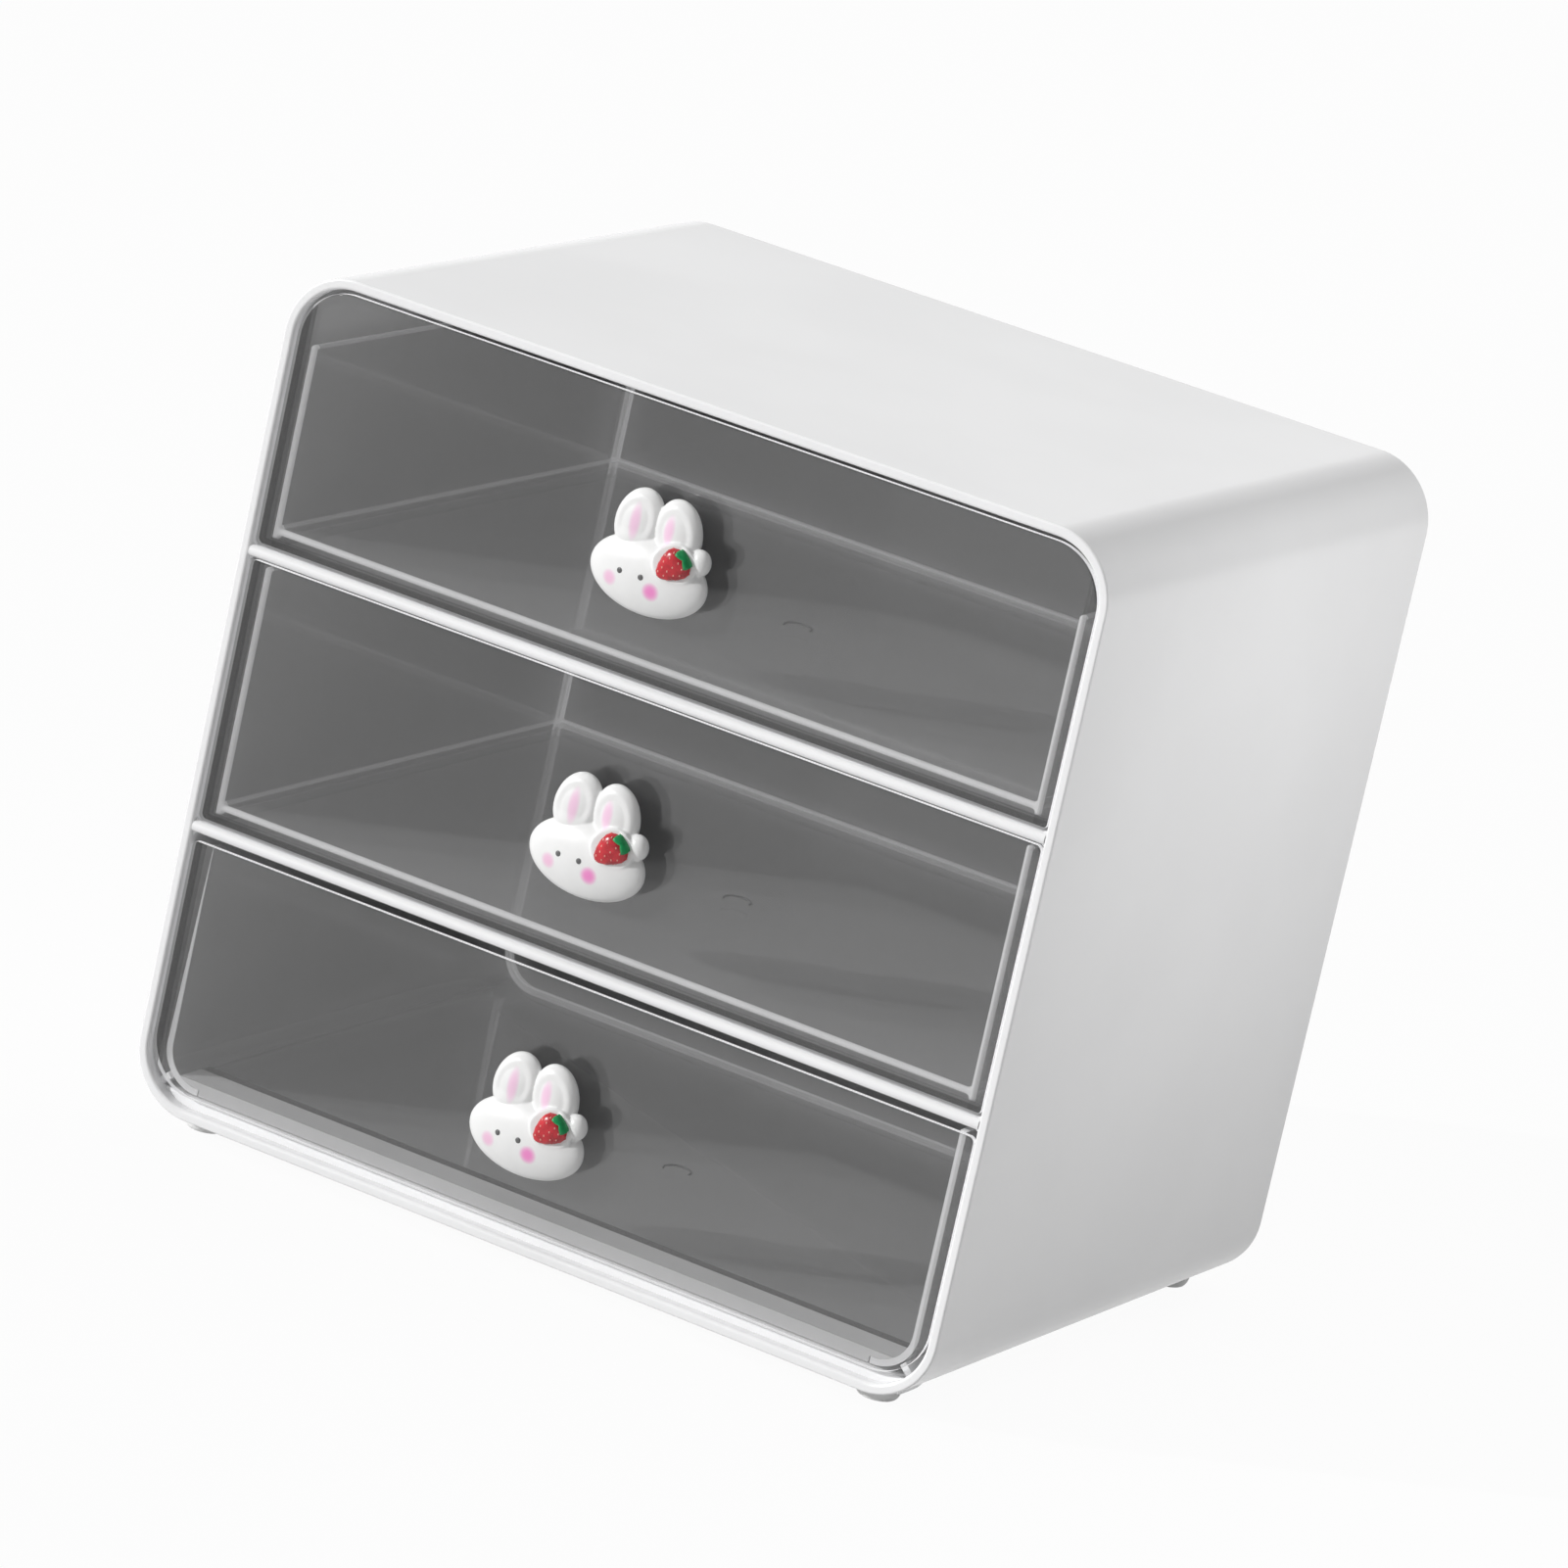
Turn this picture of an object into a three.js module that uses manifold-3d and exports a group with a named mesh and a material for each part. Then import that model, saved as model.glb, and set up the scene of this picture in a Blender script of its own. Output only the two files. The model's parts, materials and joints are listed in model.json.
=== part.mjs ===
// Desktop organiser: a white case with rounded long edges and three smoky drawers,
// each with a flat front plate, a clear tray and a rabbit-head knob that carries a strawberry.
// Millimetres, +Z up, +Y towards the back. Z = 0 is the surface that the feet stand on.
import * as THREE from 'three';
import { mergeVertices } from 'three/addons/utils/BufferGeometryUtils.js';
import Module from 'manifold-3d';

const wasm = await Module();
wasm.setup();

// Case
const caseWidth = 237.2;
const caseDepth = 178;
const caseWall = 2.7;
const caseCornerRadius = 17.6; // rounding of the four long edges, outside
const lowerOpening = 70.6; // clear height of each drawer's opening
const middleOpening = 70.4;
const upperOpening = 70.5;
const rearBevel = 1.2;

// Shelves between the openings
const shelfThickness = 3;
const shelfFillet = 1.6; // where a shelf runs into the side walls

// Back panel, set into the rear of the sleeve
const backPanelThickness = 2.4;
const backPanelRecess = 0.8;
const backPanelClearance = 0.3;

// Raised sill behind the bottom drawer's front plate
const sillDepth = 27;
const sillEndInset = 8.2; // from the case's side face
const sillCornerRadius = 20;
const sillClearance = 0.5; // to the front plate and to the tray above

// Corner runners that carry the bottom tray
const runnerWidth = 2;

// Feet
const footRadius = 6;
const footFlatRadius = 4.2;
const footHeight = 3.5;
const footRootHeight = 3; // reach of the blank up to the rounded underside
const footInsetSide = 18.1;
const footInsetFront = 11;
const footClearance = 0.3;

// Front plates
const plateThickness = 2.2;
const plateRecess = 0.8; // face of the plate behind the rim
const plateClearance = 0.6;
const lowerPlateTopClearance = 2.2;
const lowerPlateBottomClearance = 3.1;
const upperPlateTopClearance = 1.2;
const plateEdgeChamfer = 0.35;

// Trays
const trayWall = 1.8;
const trayFloor = 1.8;
const traySideGap = 3.9; // tray to the case's side wall
const trayLift = 3.8; // underside of the tray's floor above what it slides on
const trayRearGap = 3;
const trayTopGap = 2; // tray to the shelf above
const upperTrayTopGap = 2.3; // upper tray below the case's rounded corners
const slideClearance = 0.3;

// Ledge let into the bottom tray's floor, along its front plate
const ledgeThickness = 3.6;
const ledgeDepth = 14;
const ledgeCornerRadius = 9;
const ledgeEndGap = 1; // to where the floor curves up
const ledgeClearance = 0.3;

// Rabbit knob: sizes seen from the front, and depths in front of the plate
const knobOffset = -1.4; // screw's axis from the middle of the plate
const knobStemRadius = 5;
const knobBackGap = 1.8; // flat back of the head in front of the plate
const knobMiddle = 5.2; // widest section of the head in front of the plate
const headHalfWidth = 16.6;
const headHalfHeight = 9.9;
const headHalfDepth = 5;
const headDrop = 6.7; // centre of the head below the screw
const earHalfWidth = 6.4;
const earHalfHeight = 8.6;
const earHalfDepth = 3.6;
const earOffset = 5.7;
const earRise = 5.8;
const earLean = THREE.MathUtils.degToRad(14); // tips towards each other
const knobBoreRadius = 2.1;
const knobBoreDepth = 5.4;

// Strawberry and its oval backing on the head
const backingRadius = 5.8;
const backingHeight = 4.5;
const backingRound = 1;
const backingOvalShare = 0.9;
const backingInset = 8.2; // centre of the backing from the head's right end
const backingDrop = 0.9;
const backingFront = 9.6; // flat front of the backing, at its centre, in front of the plate
const backingTurn = THREE.MathUtils.degToRad(13);
const budRadius = 3; // white bud that stands out beside the backing
const budOffset = 5.9;
const budRise = 2.5;
const budSink = 2.2;
const berryRadius = 4;
const berryLength = 9;
const berryHeight = 2; // how far the berry stands proud
const berryTilt = THREE.MathUtils.degToRad(-46);
const berryClearance = 0.3;
const leafThickness = 0.9;
const leafLength = 3.2;
const leafTeeth = 4;
const leafToothDepth = 1.1;

// Knob screw and washer
const screwRadius = 1.9;
const screwLength = 8;
const screwHeadRadius = 3.8;
const screwHeadHeight = 2.6;
const screwHeadFlatShare = 0.45;
const plateHoleRadius = 2.3;
const washerRadius = 4.6;
const washerThickness = 0.8;
const washerHoleRadius = 2.15;

// Facets
const cornerSteps = 8;
const rimSteps = 6;
const roundSteps = 24;
const headSteps = 26;
const overrun = 1; // how far a cutting shape passes the face that it cuts
const halfTurn = Math.PI;
const quarterTurn = halfTurn / 2;
const eighthTurn = quarterTurn / 2;

const innerHalfWidth = caseWidth / 2 - caseWall;
const innerCornerRadius = caseCornerRadius - caseWall;
const lowerFloor = caseWall;
const middleFloor = lowerFloor + lowerOpening + shelfThickness;
const upperFloor = middleFloor + middleOpening + shelfThickness;
const caseHeight = upperFloor + upperOpening + caseWall;
const caseFront = -caseDepth / 2;
const caseRear = caseDepth / 2;
const plateFace = caseFront + plateRecess;
const plateBack = plateFace + plateThickness;
const trayRear = caseRear - backPanelRecess - backPanelThickness - trayRearGap;
const trayHalfWidth = innerHalfWidth - traySideGap;

const whitePlastic = new THREE.MeshStandardMaterial({ color: 0xf2f2f2, roughness: 0.25, metalness: 0 });
const shelfPlastic = new THREE.MeshStandardMaterial({ color: 0xf4f4f4, roughness: 0.25, metalness: 0 });
const footRubber = new THREE.MeshStandardMaterial({ color: 0xe6e6e4, roughness: 0.6, metalness: 0 });
const smokyPlastic = new THREE.MeshStandardMaterial({
  color: 0x5c5e60, roughness: 0.08, metalness: 0, transparent: true, opacity: 0.6,
});
const knobResin = new THREE.MeshStandardMaterial({ color: 0xf7f7f5, roughness: 0.3, metalness: 0 });
const berryRed = new THREE.MeshStandardMaterial({ color: 0xc4262e, roughness: 0.3, metalness: 0 });
const leafGreen = new THREE.MeshStandardMaterial({ color: 0x148a3c, roughness: 0.35, metalness: 0 });
const screwSteel = new THREE.MeshStandardMaterial({ color: 0xb8babd, roughness: 0.3, metalness: 1 });

function toSolid(geometry) {
  const bare = geometry.clone();
  bare.deleteAttribute('normal');
  bare.deleteAttribute('uv');
  const merged = mergeVertices(bare);
  return new wasm.Manifold(new wasm.Mesh({
    numProp: 3,
    vertProperties: new Float32Array(merged.attributes.position.array),
    triVerts: new Uint32Array(merged.index.array),
  }));
}

function toGeometry(solid) {
  const { vertProperties, triVerts } = solid.getMesh();
  const geometry = new THREE.BufferGeometry();
  geometry.setAttribute('position', new THREE.BufferAttribute(vertProperties, 3));
  geometry.setIndex(new THREE.BufferAttribute(triVerts, 1));
  geometry.computeVertexNormals();
  return geometry;
}

function part(name, geometry, material) {
  const mesh = new THREE.Mesh(geometry, material);
  mesh.name = name;
  return mesh;
}

// A front-view outline drawn in X and Z, pushed back from frontY to rearY.
function pushBack(shape, frontY, rearY, options = {}) {
  const geometry = new THREE.ExtrudeGeometry(shape, {
    depth: rearY - frontY, bevelEnabled: false, curveSegments: cornerSteps, ...options,
  });
  geometry.rotateX(quarterTurn);
  geometry.translate(0, rearY, 0);
  return geometry;
}

// Rounded rectangle with its own radius at the bottom and at the top corners.
function roundedOutline(halfWidth, bottom, top, bottomRadius, topRadius) {
  const shape = new THREE.Shape();
  shape.absarc(halfWidth - bottomRadius, bottom + bottomRadius, bottomRadius, -quarterTurn, 0);
  shape.absarc(halfWidth - topRadius, top - topRadius, topRadius, 0, quarterTurn);
  shape.absarc(topRadius - halfWidth, top - topRadius, topRadius, quarterTurn, halfTurn);
  shape.absarc(bottomRadius - halfWidth, bottom + bottomRadius, bottomRadius, halfTurn, halfTurn + quarterTurn);
  return shape;
}

// Everything within the middle of the wall, so that what grows from the wall never shows outside.
function wallCore() {
  const inset = caseWall / 2;
  const radius = caseCornerRadius - inset;
  const outline = roundedOutline(caseWidth / 2 - inset, inset, caseHeight - inset, radius, radius);
  return toSolid(pushBack(outline, caseFront, caseRear));
}

// The sleeve is its wall's section, with the round rim and the rear bevel, carried round the outline.
function sleeve() {
  const outline = [];
  for (let corner = 0; corner < 4; corner += 1) {
    const toRight = corner === 0 || corner === 3 ? 1 : -1;
    const toTop = corner < 2 ? 1 : -1;
    const centreX = toRight * (caseWidth / 2 - caseCornerRadius);
    const centreZ = caseHeight / 2 + toTop * (caseHeight / 2 - caseCornerRadius);
    for (let step = 0; step <= cornerSteps; step += 1) {
      const angle = quarterTurn * (corner + step / cornerSteps);
      outline.push([centreX, centreZ, Math.cos(angle), Math.sin(angle)]);
    }
  }
  const rimRadius = caseWall / 2;
  const section = [[0, caseRear - rearBevel]];
  for (let step = 0; step <= rimSteps; step += 1) {
    const angle = halfTurn * (step / rimSteps);
    section.push([rimRadius - rimRadius * Math.cos(angle), caseFront + rimRadius - rimRadius * Math.sin(angle)]);
  }
  section.push([caseWall, caseRear], [rearBevel, caseRear]);

  const positions = [];
  for (const [centreX, centreZ, normalX, normalZ] of outline) {
    for (const [inset, y] of section) {
      const radius = caseCornerRadius - inset;
      positions.push(centreX + normalX * radius, y, centreZ + normalZ * radius);
    }
  }
  const indices = [];
  const across = section.length;
  for (let i = 0; i < outline.length; i += 1) {
    for (let j = 0; j < across; j += 1) {
      const here = i * across;
      const next = ((i + 1) % outline.length) * across;
      const k = (j + 1) % across;
      indices.push(here + j, next + k, here + k, here + j, next + j, next + k);
    }
  }
  const geometry = new THREE.BufferGeometry();
  geometry.setAttribute('position', new THREE.Float32BufferAttribute(positions, 3));
  geometry.setIndex(indices);
  return toSolid(geometry);
}

// Light strip under the bottom drawer's front: a low step on the case's floor with round rear corners.
function sill() {
  const front = plateBack + sillClearance;
  const rear = front + sillDepth;
  const halfLength = caseWidth / 2 - sillEndInset;
  const plan = new THREE.Shape();
  plan.moveTo(-halfLength, front);
  plan.lineTo(halfLength, front);
  plan.absarc(halfLength - sillCornerRadius, rear - sillCornerRadius, sillCornerRadius, 0, quarterTurn);
  plan.absarc(sillCornerRadius - halfLength, rear - sillCornerRadius, sillCornerRadius, quarterTurn, halfTurn);
  const geometry = new THREE.ExtrudeGeometry(plan, {
    depth: caseWall + trayLift - sillClearance, bevelEnabled: false, curveSegments: cornerSteps,
  });
  return toSolid(geometry);
}

// The bottom tray has round lower corners, and slides on a rib in each rounded corner of the case.
function lowerTrayRadius() {
  return innerCornerRadius - traySideGap;
}

function cornerRunner(side) {
  const reach = caseCornerRadius + trayLift;
  const start = lowerTrayRadius() + slideClearance;
  const front = plateBack + sillClearance;
  const geometry = new THREE.BoxGeometry(runnerWidth, trayRear - front, reach - start);
  geometry.translate(0, (trayRear + front) / 2, -(reach + start) / 2);
  geometry.rotateY(-side * eighthTurn);
  const centreZ = caseWall + trayLift + lowerTrayRadius();
  geometry.translate(side * (trayHalfWidth - lowerTrayRadius()), 0, centreZ);
  return toSolid(geometry);
}

function caseShell() {
  const grown = sill().add(cornerRunner(-1)).add(cornerRunner(1));
  return toGeometry(sleeve().add(grown.intersect(wallCore())));
}

function backPanel() {
  const margin = caseWall + backPanelClearance;
  const radius = caseCornerRadius - margin;
  const outline = roundedOutline(caseWidth / 2 - margin, margin, caseHeight - margin, radius, radius);
  const rear = caseRear - backPanelRecess;
  return pushBack(outline, rear - backPanelThickness, rear);
}

// Plate with a round front edge, and a concave fillet where it meets each side wall.
function shelf(bottom) {
  const top = bottom + shelfThickness;
  const noseRadius = shelfThickness / 2;
  const rear = caseRear - backPanelRecess - backPanelThickness;
  const profile = new THREE.Shape();
  profile.moveTo(rear, bottom);
  profile.lineTo(rear, top);
  profile.absarc(caseFront + noseRadius, bottom + noseRadius, noseRadius, quarterTurn, halfTurn + quarterTurn);
  const board = new THREE.ExtrudeGeometry(profile, {
    depth: innerHalfWidth * 2, bevelEnabled: false, curveSegments: cornerSteps,
  });
  board.rotateX(quarterTurn);
  board.rotateZ(quarterTurn);
  board.translate(-innerHalfWidth, 0, 0);
  let solid = toSolid(board);
  for (const side of [-1, 1]) {
    for (const [face, away] of [[bottom, -1], [top, 1]]) {
      const wallX = side * innerHalfWidth;
      const centreX = wallX - side * shelfFillet;
      const centreZ = face + away * shelfFillet;
      const strip = new THREE.Shape();
      strip.moveTo(wallX, face - away * noseRadius);
      strip.lineTo(wallX, centreZ);
      const clockwise = side * away > 0;
      const start = side > 0 ? 0 : halfTurn;
      strip.absarc(centreX, centreZ, shelfFillet, start, -away * quarterTurn, clockwise);
      strip.lineTo(centreX, face - away * noseRadius);
      solid = solid.add(toSolid(pushBack(strip, caseFront + noseRadius, rear)));
    }
  }
  return toGeometry(solid);
}

// White strip along the front plate with round rear corners, and with grow the notch that it lies in.
function frontLedge(level, grow) {
  const halfLength = trayHalfWidth - lowerTrayRadius() - ledgeEndGap + grow;
  const rear = plateBack + ledgeDepth + grow;
  const radius = ledgeCornerRadius + grow;
  const front = plateBack - (grow > 0 ? overrun : 0);
  const plan = new THREE.Shape();
  plan.moveTo(-halfLength, front);
  plan.lineTo(halfLength, front);
  plan.absarc(halfLength - radius, rear - radius, radius, 0, quarterTurn);
  plan.absarc(radius - halfLength, rear - radius, radius, quarterTurn, halfTurn);
  const geometry = new THREE.ExtrudeGeometry(plan, {
    depth: ledgeThickness + grow, bevelEnabled: false, curveSegments: cornerSteps,
  });
  geometry.translate(0, 0, level.floor + trayLift - grow);
  return toSolid(geometry);
}

// Low dome with a flat tread, cut to the rounded underside of the case.
function foot(x, y) {
  const flare = footRadius - footFlatRadius;
  const profile = [new THREE.Vector2(0, -footHeight)];
  for (let step = 0; step <= rimSteps; step += 1) {
    const angle = quarterTurn * (step / rimSteps);
    const radius = footFlatRadius + flare * Math.sin(angle);
    profile.push(new THREE.Vector2(radius, -footHeight * Math.cos(angle)));
  }
  profile.push(new THREE.Vector2(footRadius, footRootHeight), new THREE.Vector2(0, footRootHeight));
  const dome = new THREE.LatheGeometry(profile, roundSteps);
  dome.rotateX(quarterTurn);
  dome.translate(x, y, 0);
  const outline = roundedOutline(
    caseWidth / 2 + footClearance, -footClearance, caseHeight,
    caseCornerRadius + footClearance, caseCornerRadius,
  );
  return toGeometry(toSolid(dome).subtract(toSolid(pushBack(outline, caseFront, caseRear))));
}

function frontPlate(level) {
  const bottom = level.floor + level.bottomGap;
  const top = level.floor + level.opening - level.topGap;
  const roundRadius = innerCornerRadius - plateClearance;
  const outline = roundedOutline(
    innerHalfWidth - plateClearance, bottom, top,
    level.roundBottom ? roundRadius : shelfFillet, level.roundTop ? roundRadius : shelfFillet,
  );
  const hole = new THREE.Path();
  hole.absarc(knobOffset, level.knobHeight, plateHoleRadius, 0, halfTurn * 2, true);
  outline.holes.push(hole);
  return pushBack(outline, plateFace + plateEdgeChamfer, plateBack - plateEdgeChamfer, {
    bevelEnabled: true,
    bevelSegments: 1,
    bevelSize: plateEdgeChamfer,
    bevelOffset: -plateEdgeChamfer,
    bevelThickness: plateEdgeChamfer,
  });
}

// Side walls, floor and the runners under them as one section, closed by the rear wall.
function tray(level) {
  const outer = trayHalfWidth;
  const inner = outer - trayWall;
  const underside = level.floor + trayLift;
  const floorTop = underside + trayFloor;
  const runnerFoot = level.floor + slideClearance;
  const section = new THREE.Shape();
  let rearWall;
  if (level.roundBottom) {
    const outerRadius = lowerTrayRadius();
    const innerRadius = outerRadius - trayWall;
    section.moveTo(-outer, level.trayTop);
    section.absarc(outerRadius - outer, underside + outerRadius, outerRadius, halfTurn, halfTurn + quarterTurn);
    section.absarc(outer - outerRadius, underside + outerRadius, outerRadius, -quarterTurn, 0);
    section.lineTo(outer, level.trayTop);
    section.lineTo(inner, level.trayTop);
    section.absarc(inner - innerRadius, floorTop + innerRadius, innerRadius, 0, -quarterTurn, true);
    section.absarc(innerRadius - inner, floorTop + innerRadius, innerRadius, -quarterTurn, -halfTurn, true);
    section.lineTo(-inner, level.trayTop);
    rearWall = new THREE.Shape();
    rearWall.moveTo(-outer, level.trayTop);
    rearWall.absarc(outerRadius - outer, underside + outerRadius, outerRadius, halfTurn, halfTurn + quarterTurn);
    rearWall.absarc(outer - outerRadius, underside + outerRadius, outerRadius, -quarterTurn, 0);
    rearWall.lineTo(outer, level.trayTop);
  } else {
    section.setFromPoints([
      [-outer, runnerFoot], [-inner, runnerFoot], [-inner, underside], [inner, underside], [inner, runnerFoot],
      [outer, runnerFoot], [outer, level.trayTop], [inner, level.trayTop], [inner, floorTop],
      [-inner, floorTop], [-inner, level.trayTop], [-outer, level.trayTop],
    ].map(([x, z]) => new THREE.Vector2(x, z)));
    rearWall = new THREE.Shape([
      [-outer, underside], [outer, underside], [outer, level.trayTop], [-outer, level.trayTop],
    ].map(([x, z]) => new THREE.Vector2(x, z)));
  }
  const channel = toSolid(pushBack(section, plateBack, trayRear));
  const closed = channel.add(toSolid(pushBack(rearWall, trayRear - trayWall, trayRear)));
  return toGeometry(level.roundBottom ? closed.subtract(frontLedge(level, ledgeClearance)) : closed);
}

// The knob's own frame: X to the right, Y up, Z out of the plate, origin at the screw's axis on the plate.
function ellipsoid(halfX, halfY, halfZ) {
  const geometry = new THREE.SphereGeometry(1, headSteps, headSteps / 2);
  geometry.scale(halfX, halfY, halfZ);
  return geometry;
}

function intoBackingFrame(geometry) {
  geometry.rotateY(backingTurn);
  geometry.translate(headHalfWidth - backingInset, -backingDrop, backingFront);
  return geometry;
}

function backing() {
  const profile = [new THREE.Vector2(0, -backingHeight), new THREE.Vector2(backingRadius, -backingHeight)];
  for (let step = 0; step <= rimSteps / 2; step += 1) {
    const angle = quarterTurn * (step / (rimSteps / 2));
    profile.push(new THREE.Vector2(
      backingRadius - backingRound + backingRound * Math.cos(angle),
      backingRound * Math.sin(angle) - backingRound,
    ));
  }
  profile.push(new THREE.Vector2(0, 0));
  const disc = new THREE.LatheGeometry(profile, roundSteps);
  disc.rotateX(quarterTurn);
  disc.scale(1, backingOvalShare, 1);
  return toSolid(intoBackingFrame(disc));
}

function bud() {
  const ball = ellipsoid(budRadius, budRadius, budRadius);
  ball.translate(budOffset, budRise, -budSink);
  return toSolid(intoBackingFrame(ball));
}

function rabbitKnob() {
  const head = ellipsoid(headHalfWidth, headHalfHeight, headHalfDepth);
  head.translate(0, -headDrop, knobMiddle);
  let solid = toSolid(head).add(backing()).add(bud());
  for (const side of [-1, 1]) {
    const ear = ellipsoid(earHalfWidth, earHalfHeight, earHalfDepth);
    ear.rotateZ(side * earLean);
    ear.translate(side * earOffset, earRise, knobMiddle);
    solid = solid.add(toSolid(ear));
  }
  const behind = new THREE.BoxGeometry(headHalfWidth * 3, headHalfWidth * 3, headHalfWidth);
  behind.translate(0, 0, knobBackGap - headHalfWidth / 2);
  solid = solid.subtract(toSolid(behind));
  const stem = new THREE.CylinderGeometry(knobStemRadius, knobStemRadius, knobMiddle, roundSteps);
  stem.rotateX(quarterTurn);
  stem.translate(0, 0, knobMiddle / 2);
  const bore = new THREE.CylinderGeometry(knobBoreRadius, knobBoreRadius, knobBoreDepth + overrun, roundSteps);
  bore.rotateX(quarterTurn);
  bore.translate(0, 0, (knobBoreDepth - overrun) / 2);
  return solid.add(toSolid(stem)).subtract(toSolid(bore)).subtract(berryPocket());
}

// Outline of the berry, from its tip to its shoulder, as shares of its length and radius.
const berryOutlineShares = [
  [0, -0.5], [0.3, -0.44], [0.62, -0.27], [0.9, -0.02], [1, 0.16], [0.95, 0.32], [0.7, 0.44], [0.36, 0.49], [0, 0.5],
];

function berryBody(grow) {
  const profile = berryOutlineShares.map(([radiusShare, lengthShare]) => new THREE.Vector2(
    radiusShare * (berryRadius + grow), lengthShare * (berryLength + grow * 2),
  ));
  const body = new THREE.LatheGeometry(profile, roundSteps / 2);
  body.scale(1, 1, (berryHeight + grow) / (berryRadius + grow));
  return body;
}

// Everything on the backing lies in front of its flat face, tip down and to the left.
function ontoBacking(geometry) {
  geometry.rotateZ(berryTilt);
  return intoBackingFrame(geometry);
}

function inFront(height) {
  const reach = berryLength * 2;
  const block = new THREE.BoxGeometry(reach, reach, reach);
  block.translate(0, 0, reach / 2 + height);
  return toSolid(block);
}

function strawberry() {
  return toSolid(berryBody(0)).intersect(inFront(berryClearance));
}

// Room for the berry and its leaf in whatever of the head stands in front of the backing.
function berryPocket() {
  const room = toSolid(berryBody(leafThickness + berryClearance * 2)).intersect(inFront(0));
  return toSolid(ontoBacking(toGeometry(room)));
}

function strawberryLeaf() {
  const shoulder = berryLength / 2 + leafThickness + berryClearance;
  const toothWidth = (berryRadius + leafThickness + berryClearance) * 2 / leafTeeth;
  const cover = new THREE.Shape();
  const left = -toothWidth * leafTeeth / 2;
  const hem = shoulder - leafLength;
  cover.moveTo(left - overrun, hem + leafToothDepth);
  for (let tooth = 0; tooth < leafTeeth; tooth += 1) {
    const start = left + tooth * toothWidth;
    cover.lineTo(start, hem + leafToothDepth);
    cover.lineTo(start + toothWidth / 2, hem);
  }
  cover.lineTo(-left, hem + leafToothDepth);
  cover.lineTo(overrun - left, hem + leafToothDepth);
  cover.lineTo(overrun - left, shoulder + overrun);
  cover.lineTo(left - overrun, shoulder + overrun);
  const cutter = new THREE.ExtrudeGeometry(cover, { depth: berryLength, bevelEnabled: false });
  const skin = toSolid(berryBody(leafThickness + berryClearance)).intersect(inFront(berryClearance));
  return skin.intersect(toSolid(cutter)).subtract(toSolid(berryBody(berryClearance)));
}

function knobWasher() {
  const profile = [
    new THREE.Vector2(washerHoleRadius, 0), new THREE.Vector2(washerRadius, 0),
    new THREE.Vector2(washerRadius, washerThickness), new THREE.Vector2(washerHoleRadius, washerThickness),
    new THREE.Vector2(washerHoleRadius, 0),
  ];
  const ring = new THREE.LatheGeometry(profile, roundSteps);
  ring.rotateX(-quarterTurn);
  ring.translate(0, 0, -plateThickness);
  return ring;
}

function knobScrew() {
  const seat = 0;
  const profile = [
    new THREE.Vector2(0, -screwLength), new THREE.Vector2(screwRadius, -screwLength),
    new THREE.Vector2(screwRadius, seat), new THREE.Vector2(screwHeadRadius, seat),
  ];
  const shoulder = screwHeadHeight * screwHeadFlatShare;
  for (let step = 0; step < rimSteps; step += 1) {
    const angle = quarterTurn * (step / rimSteps);
    profile.push(new THREE.Vector2(
      screwHeadRadius * Math.cos(angle), shoulder + (screwHeadHeight - shoulder) * Math.sin(angle),
    ));
  }
  profile.push(new THREE.Vector2(0, screwHeadHeight));
  const screw = new THREE.LatheGeometry(profile, roundSteps);
  screw.rotateX(-quarterTurn);
  screw.translate(0, 0, -plateThickness - washerThickness);
  return screw;
}

const levels = [
  {
    name: 'lower', floor: lowerFloor, opening: lowerOpening, roundBottom: true,
    bottomGap: lowerPlateBottomClearance, topGap: lowerPlateTopClearance,
  },
  {
    name: 'middle', floor: middleFloor, opening: middleOpening,
    bottomGap: plateClearance, topGap: plateClearance,
  },
  {
    name: 'upper', floor: upperFloor, opening: upperOpening, roundTop: true,
    bottomGap: plateClearance, topGap: upperPlateTopClearance,
  },
];
for (const level of levels) {
  const ceiling = level.floor + level.opening;
  level.knobHeight = level.floor + level.opening / 2;
  level.trayTop = level.roundTop ? caseHeight - caseCornerRadius - upperTrayTopGap : ceiling - trayTopGap;
}

const knobGeometry = toGeometry(rabbitKnob());
const berryGeometry = ontoBacking(toGeometry(strawberry()));
const leafGeometry = ontoBacking(toGeometry(strawberryLeaf()));
const washerGeometry = toGeometry(toSolid(knobWasher()));
const screwGeometry = toGeometry(toSolid(knobScrew()));

function drawer(level) {
  const group = new THREE.Group();
  group.add(
    part(`${level.name}_tray`, tray(level), smokyPlastic),
    part(`${level.name}_front_plate`, frontPlate(level), smokyPlastic),
  );
  const knob = new THREE.Group();
  knob.add(
    part(`${level.name}_rabbit_knob`, knobGeometry, knobResin),
    part(`${level.name}_strawberry`, berryGeometry, berryRed),
    part(`${level.name}_strawberry_leaf`, leafGeometry, leafGreen),
    part(`${level.name}_knob_washer`, washerGeometry, screwSteel),
    part(`${level.name}_knob_screw`, screwGeometry, screwSteel),
  );
  knob.rotation.x = quarterTurn;
  knob.position.set(knobOffset, plateFace, level.knobHeight);
  group.add(knob);
  if (level.roundBottom) {
    group.add(part(`${level.name}_front_ledge`, toGeometry(frontLedge(level, 0)), shelfPlastic));
  }
  return group;
}

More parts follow.
